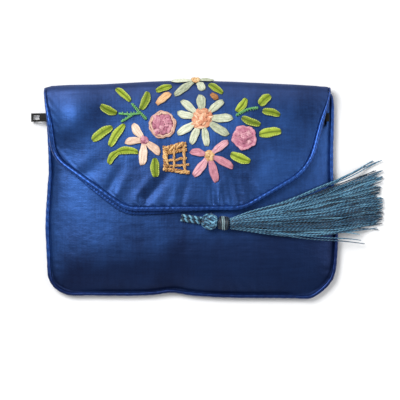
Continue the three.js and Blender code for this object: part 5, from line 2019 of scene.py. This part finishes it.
        def place(u: float, v: float) -> Vector:
            """Point of the ruffle: v runs from its gathered foot to its free edge.

            Args:
                u: Share across or round, from 0 to 1.
                v: Share along, from 0 to 1.

            Returns:
                The point in millimetres.
            """
            angle = 2 * math.pi * u
            wave = math.sin(count * angle + phase) + 0.5 * math.sin((2 * count + 1) * angle + swirl)
            fold = math.sin(14 * angle + 4 * math.sin(3 * angle + phase))
            out = reach - width * 1.2 * (1 - v) + 0.16 * width * wave * v - 0.25 * width * v * v
            rise = rise_to - 0.75 * (1 - v) + 0.3 * math.cos(count * angle + phase + 0.8) * v
            rise += 0.5 * math.sin(math.pi * v) + 0.13 * fold
            out = max(out + 0.1 * fold * v, 0.05)
            return self.round_over(middle, angle, out, rise)

        cloth.patch(132, 6, place, self.dice.uniform(0.25, 0.8))

    def stems(self, name: str, finish: bpy.types.Material) -> bpy.types.Object:
        """Twisted stem threads, with coils bound round them where they meet.

        Args:
            name: The CAD node's name.
            finish: Its material.

        Returns:
            The finished object.
        """
        cloth = Cloth()

        def twisted(u: float, v: float) -> float:
            """Radius of a stem, with its ply showing."""
            return 0.55 + 0.08 * math.cos(v * 60 + ROUND * u)

        for x, y, to_x, to_y in STEM_RUNS[name]:
            bow = self.dice.uniform(-0.5, 0.5)
            line = []
            for step in range(31):
                t = step / 30
                sag = math.sin(math.pi * t)
                across_by = x + (to_x - x) * t - bow * sag * 0.7
                up_by = y + (to_y - y) * t + bow * sag
                line.append(self.over(across_by, up_by, 0.72))
            cloth.tube(line, twisted, 10, tone=self.dice.uniform(0.2, 0.7))
            ahead = Vector((to_x - x, to_y - y, 0)).normalized()
            across = Vector((to_y - y, x - to_x, 0)).normalized()
            for t in (0.2, 0.42, 0.6, 0.74, 0.88):
                mid = Vector((x + (to_x - x) * t, y + (to_y - y) * t, 0))
                bind = []
                for step in range(9):
                    s = step / 4 - 1
                    spot = mid + across * s * 0.75 + ahead * s * 0.3
                    rise = 0.35 + math.sqrt(max(1 - s * s, 0.0))
                    bind.append(self.over(spot.x, spot.y, rise))
                cloth.tube(bind, lambda u, v: 0.28, 6, tone=0.85)
        return cloth.finish(name + "_thread", finish, "stem_thread", [name])

    def basket(self, finish: bpy.types.Material) -> bpy.types.Object:
        """A lattice of straw-coloured threads, the uprights over the rows.

        Args:
            finish: Its material.

        Returns:
            The finished object.
        """
        cloth = Cloth()
        for index, (x, y, to_x, to_y, reach) in enumerate(BASKET_RUNS):
            over = 0.5 if index >= BASKET_ROWS else 0.0
            across = Vector((to_y - y, x - to_x, 0)).normalized()
            windings = self.dice.uniform(1.2, 2.2)
            for ply in range(4):
                line = []
                start = self.dice.uniform(0, ROUND)
                for step in range(33):
                    t = step / 32
                    turn = 2 * math.pi * (windings * t + ply / 4) + start * 0.2
                    spot = Vector((x + (to_x - x) * t, y + (to_y - y) * t, 0))
                    sway = 0.5 * ripple(spot.x, spot.y, 3.2, index)
                    spot += across * (reach * 0.62 * math.cos(turn) + sway)
                    rise = 0.42 + reach * 0.45 * (1 + math.sin(turn)) + over
                    rise += 0.2 * ripple(spot.x, spot.y, 2.0, ply)
                    line.append(self.over(spot.x, spot.y, rise))
                slack = self.dice.uniform(20, 40)

                def strand(u: float, v: float, r: float = reach, s: float = slack) -> float:
                    """Radius of a strand, uneven along it."""
                    return r * (0.46 + 0.1 * math.sin(v * s + ROUND * u))

                cloth.tube(line, strand, 8, tone=self.dice.uniform(0.0, 1.0))
        return cloth.finish("straw_basket", finish, "gold_thread", ["basket"])


@dataclass(frozen=True)
class Lamp:
    """A square soft light: where it stands and its side in metres, its power in watts."""

    name: str
    place: tuple[float, float, float]
    size: float
    power: float


@dataclass(frozen=True)
class Studio:
    """Pale floor, soft lights and the camera straight above."""

    lamps: tuple[Lamp, ...] = (
        Lamp("key", (-0.45, 0.42, 0.8), 0.54, 10.5),
        Lamp("fill", (0.75, 0.1, 0.55), 0.5, 2.6),
        Lamp("low", (-0.2, -0.8, 0.5), 0.6, 0.8),
    )
    sky: tuple[float, float, float, float] = (0.94, 0.96, 1.0, 1.0)
    sky_strength: float = 0.34
    floor_size: float = 2.0
    floor_drop: float = 0.0002
    sensor: float = 36.0
    frame_width: float = 212.0
    centre: tuple[float, float] = (4.98, -5.25)
    focus_height: float = 9.0
    lens: float = 200.0

    def build(self) -> None:
        """Makes the floor, the lights and the camera."""
        self._floor()
        for lamp in self.lamps:
            self._light(lamp)
        world = bpy.data.worlds.new("studio")
        world.use_nodes = True
        background = world.node_tree.nodes["Background"]
        background.inputs["Color"].default_value = self.sky
        background.inputs["Strength"].default_value = self.sky_strength
        scene = bpy.context.scene
        scene.world = world
        scene.view_settings.view_transform = "Standard"
        self._camera()

    def _floor(self) -> None:
        """Makes the floor under the purse."""
        mesh = bmesh.new()
        bmesh.ops.create_grid(mesh, x_segments=8, y_segments=8, size=self.floor_size)
        data = bpy.data.meshes.new("floor")
        mesh.to_mesh(data)
        mesh.free()
        data.transform(Matrix.Translation((0, 0, -self.floor_drop)))
        data.materials.append(Paper().make())
        floor = bpy.data.objects.new("floor", data)
        bpy.context.scene.collection.objects.link(floor)

    def _light(self, lamp: Lamp) -> None:
        """Makes a square soft light aimed at the purse.

        Args:
            lamp: The light to make.
        """
        data = bpy.data.lights.new(lamp.name, "AREA")
        data.size, data.energy = lamp.size, lamp.power
        piece = bpy.data.objects.new(lamp.name, data)
        piece.location = lamp.place
        aim = Vector((0, 0, 0)) - Vector(lamp.place)
        piece.rotation_euler = aim.to_track_quat("-Z", "Y").to_euler()
        bpy.context.scene.collection.objects.link(piece)

    def _camera(self) -> None:
        """Makes the camera, straight above the middle of the photograph."""
        data = bpy.data.cameras.new("camera")
        data.sensor_width, data.lens = self.sensor, self.lens
        camera = bpy.data.objects.new("camera", data)
        distance = self.frame_width * self.lens / data.sensor_width
        height = distance + self.focus_height
        camera.location = (self.centre[0] * MM, self.centre[1] * MM, height * MM)
        bpy.context.scene.collection.objects.link(camera)
        bpy.context.scene.camera = camera


PANEL_SATIN = Satin("satin")
ROLLED_SATIN = Satin("satin_edge", Weave.ROLLED, dye(16, 30, 74), dye(50, 98, 182), 0.36)
GREEN = Ribbon(
    "leaf_ribbon", dye(70, 88, 12), dye(126, 146, 26), dye(172, 190, 60), dye(208, 220, 116)
)
RIM = Ribbon("rim_ribbon", dye(200, 150, 132), dye(232, 198, 174), dye(246, 222, 202))
CREAM = Ribbon("cream_ribbon", dye(138, 146, 118), dye(200, 206, 178), dye(232, 234, 212))
BLUSH = Ribbon("blush_ribbon", dye(184, 140, 120), dye(230, 198, 174), dye(248, 228, 208))
PINK = Ribbon("pink_ribbon", dye(150, 86, 106), dye(206, 138, 152), dye(234, 184, 190))
ROSE = Ribbon("rose_ribbon", dye(150, 72, 102), dye(204, 134, 154), dye(238, 188, 194))
PEACH = Ribbon("peach_ribbon", dye(186, 122, 76), dye(224, 176, 124), dye(242, 210, 166))
AMBER = Ribbon("centre_ribbon", dye(204, 120, 84), dye(236, 182, 144), dye(252, 222, 190))
HONEY = Ribbon("honey_ribbon", dye(196, 140, 84), dye(234, 194, 138), dye(248, 224, 176))
TAN = Ribbon("brown_ribbon", dye(118, 72, 36), dye(180, 122, 70), dye(212, 160, 104))
MINT = Thread("stem_thread", dye(44, 120, 58), dye(92, 170, 92), dye(138, 204, 126), 120.0)
STRAW = Thread("gold_thread", dye(126, 78, 34), dye(206, 152, 84), dye(238, 200, 138), 60.0)
TEAL = Thread("tassel_silk", dye(5, 20, 34), dye(26, 80, 114), dye(124, 184, 212), 250.0, 0.38)
INK = Thread("tassel_dark", dye(8, 16, 26), dye(26, 48, 66), dye(170, 200, 206), 30.0)
BAND = Thread("zip_cloth", dye(16, 26, 56), dye(28, 44, 84), dye(44, 62, 104), 400.0, 0.7)
BLACK = Metal("black_metal", dye(22, 22, 20), dye(96, 94, 88), 0.5, 0.34)
NICKEL = Metal("snap_metal", dye(138, 138, 134), dye(190, 190, 184), 1.0, 0.3)


def corners(pair: tuple[Vector, Vector]) -> list[list[float]]:
    """A box as plain lists."""
    return [[float(c) for c in corner] for corner in pair]


def main() -> None:
    """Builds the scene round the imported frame."""
    logging.basicConfig(level=logging.INFO, format="%(message)s")
    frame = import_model()
    Studio().build()
    purse = PurseForm()
    flap = FlapForm(purse)
    panel = PANEL_SATIN.make()
    rolled = ROLLED_SATIN.make()
    body = Body(purse)
    body.pouch(panel)
    body.piping(rolled)
    cover = Cover(flap)
    cover.flap(panel)
    cover.piping(rolled)
    cover.facing(rolled)
    zip_parts = Zip(purse)
    zip_parts.tape(BAND.make())
    zip_parts.fittings(frame["nodes"], BLACK.make(), NICKEL.make())
    tassel = Tassel(purse)
    teal = TEAL.make()
    tassel.loop(teal)
    tassel.head(teal)
    tassel.wrap(INK.make())
    tassel.skirt(teal)
    work = Embroidery(flap)
    cream, rose = CREAM.make(), ROSE.make()
    work.leaves(GREEN.make())
    work.single("petal_peach", PEACH_PETAL, PEACH.make())
    work.single("petal_brown", BROWN_PETAL, TAN.make())
    work.petals("daisy", DAISY, cream, "cream_ribbon")
    work.petals("fold_flower", FOLD_FLOWER, cream, "cream_ribbon")
    work.petals("blush_flower", BLUSH_FLOWER, BLUSH.make(), "blush_ribbon")
    work.petals("pink_flower", PINK_FLOWER, PINK.make(), "pink_ribbon")
    work.gathered("daisy_centre", DAISY_CENTRE, 1.7, AMBER.make(), "peach_ribbon")
    honey = HONEY.make()
    work.gathered("fold_centre", FOLD_CENTRE, 0.9, honey, "peach_ribbon")
    work.gathered("blush_centre", BLUSH_CENTRE, 1.1, rose, "rose_ribbon")
    work.gathered("pink_centre", PINK_CENTRE, 1.2, honey, "peach_ribbon")
    work.rim(ROSE_LEFT_EDGE, RIM.make())
    work.gathered("rose_left_ruffles", ROSE_LEFT, 1.9, rose, "rose_ribbon", ["rose_left"])
    work.gathered("rose_right_ruffles", ROSE_RIGHT, 2.2, rose, "rose_ribbon", ["rose_right"], 1)
    mint = MINT.make()
    work.stems("stem_left", mint)
    work.stems("stem_right", mint)
    work.basket(STRAW.make())
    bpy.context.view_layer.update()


if __name__ == "__main__":
    main()
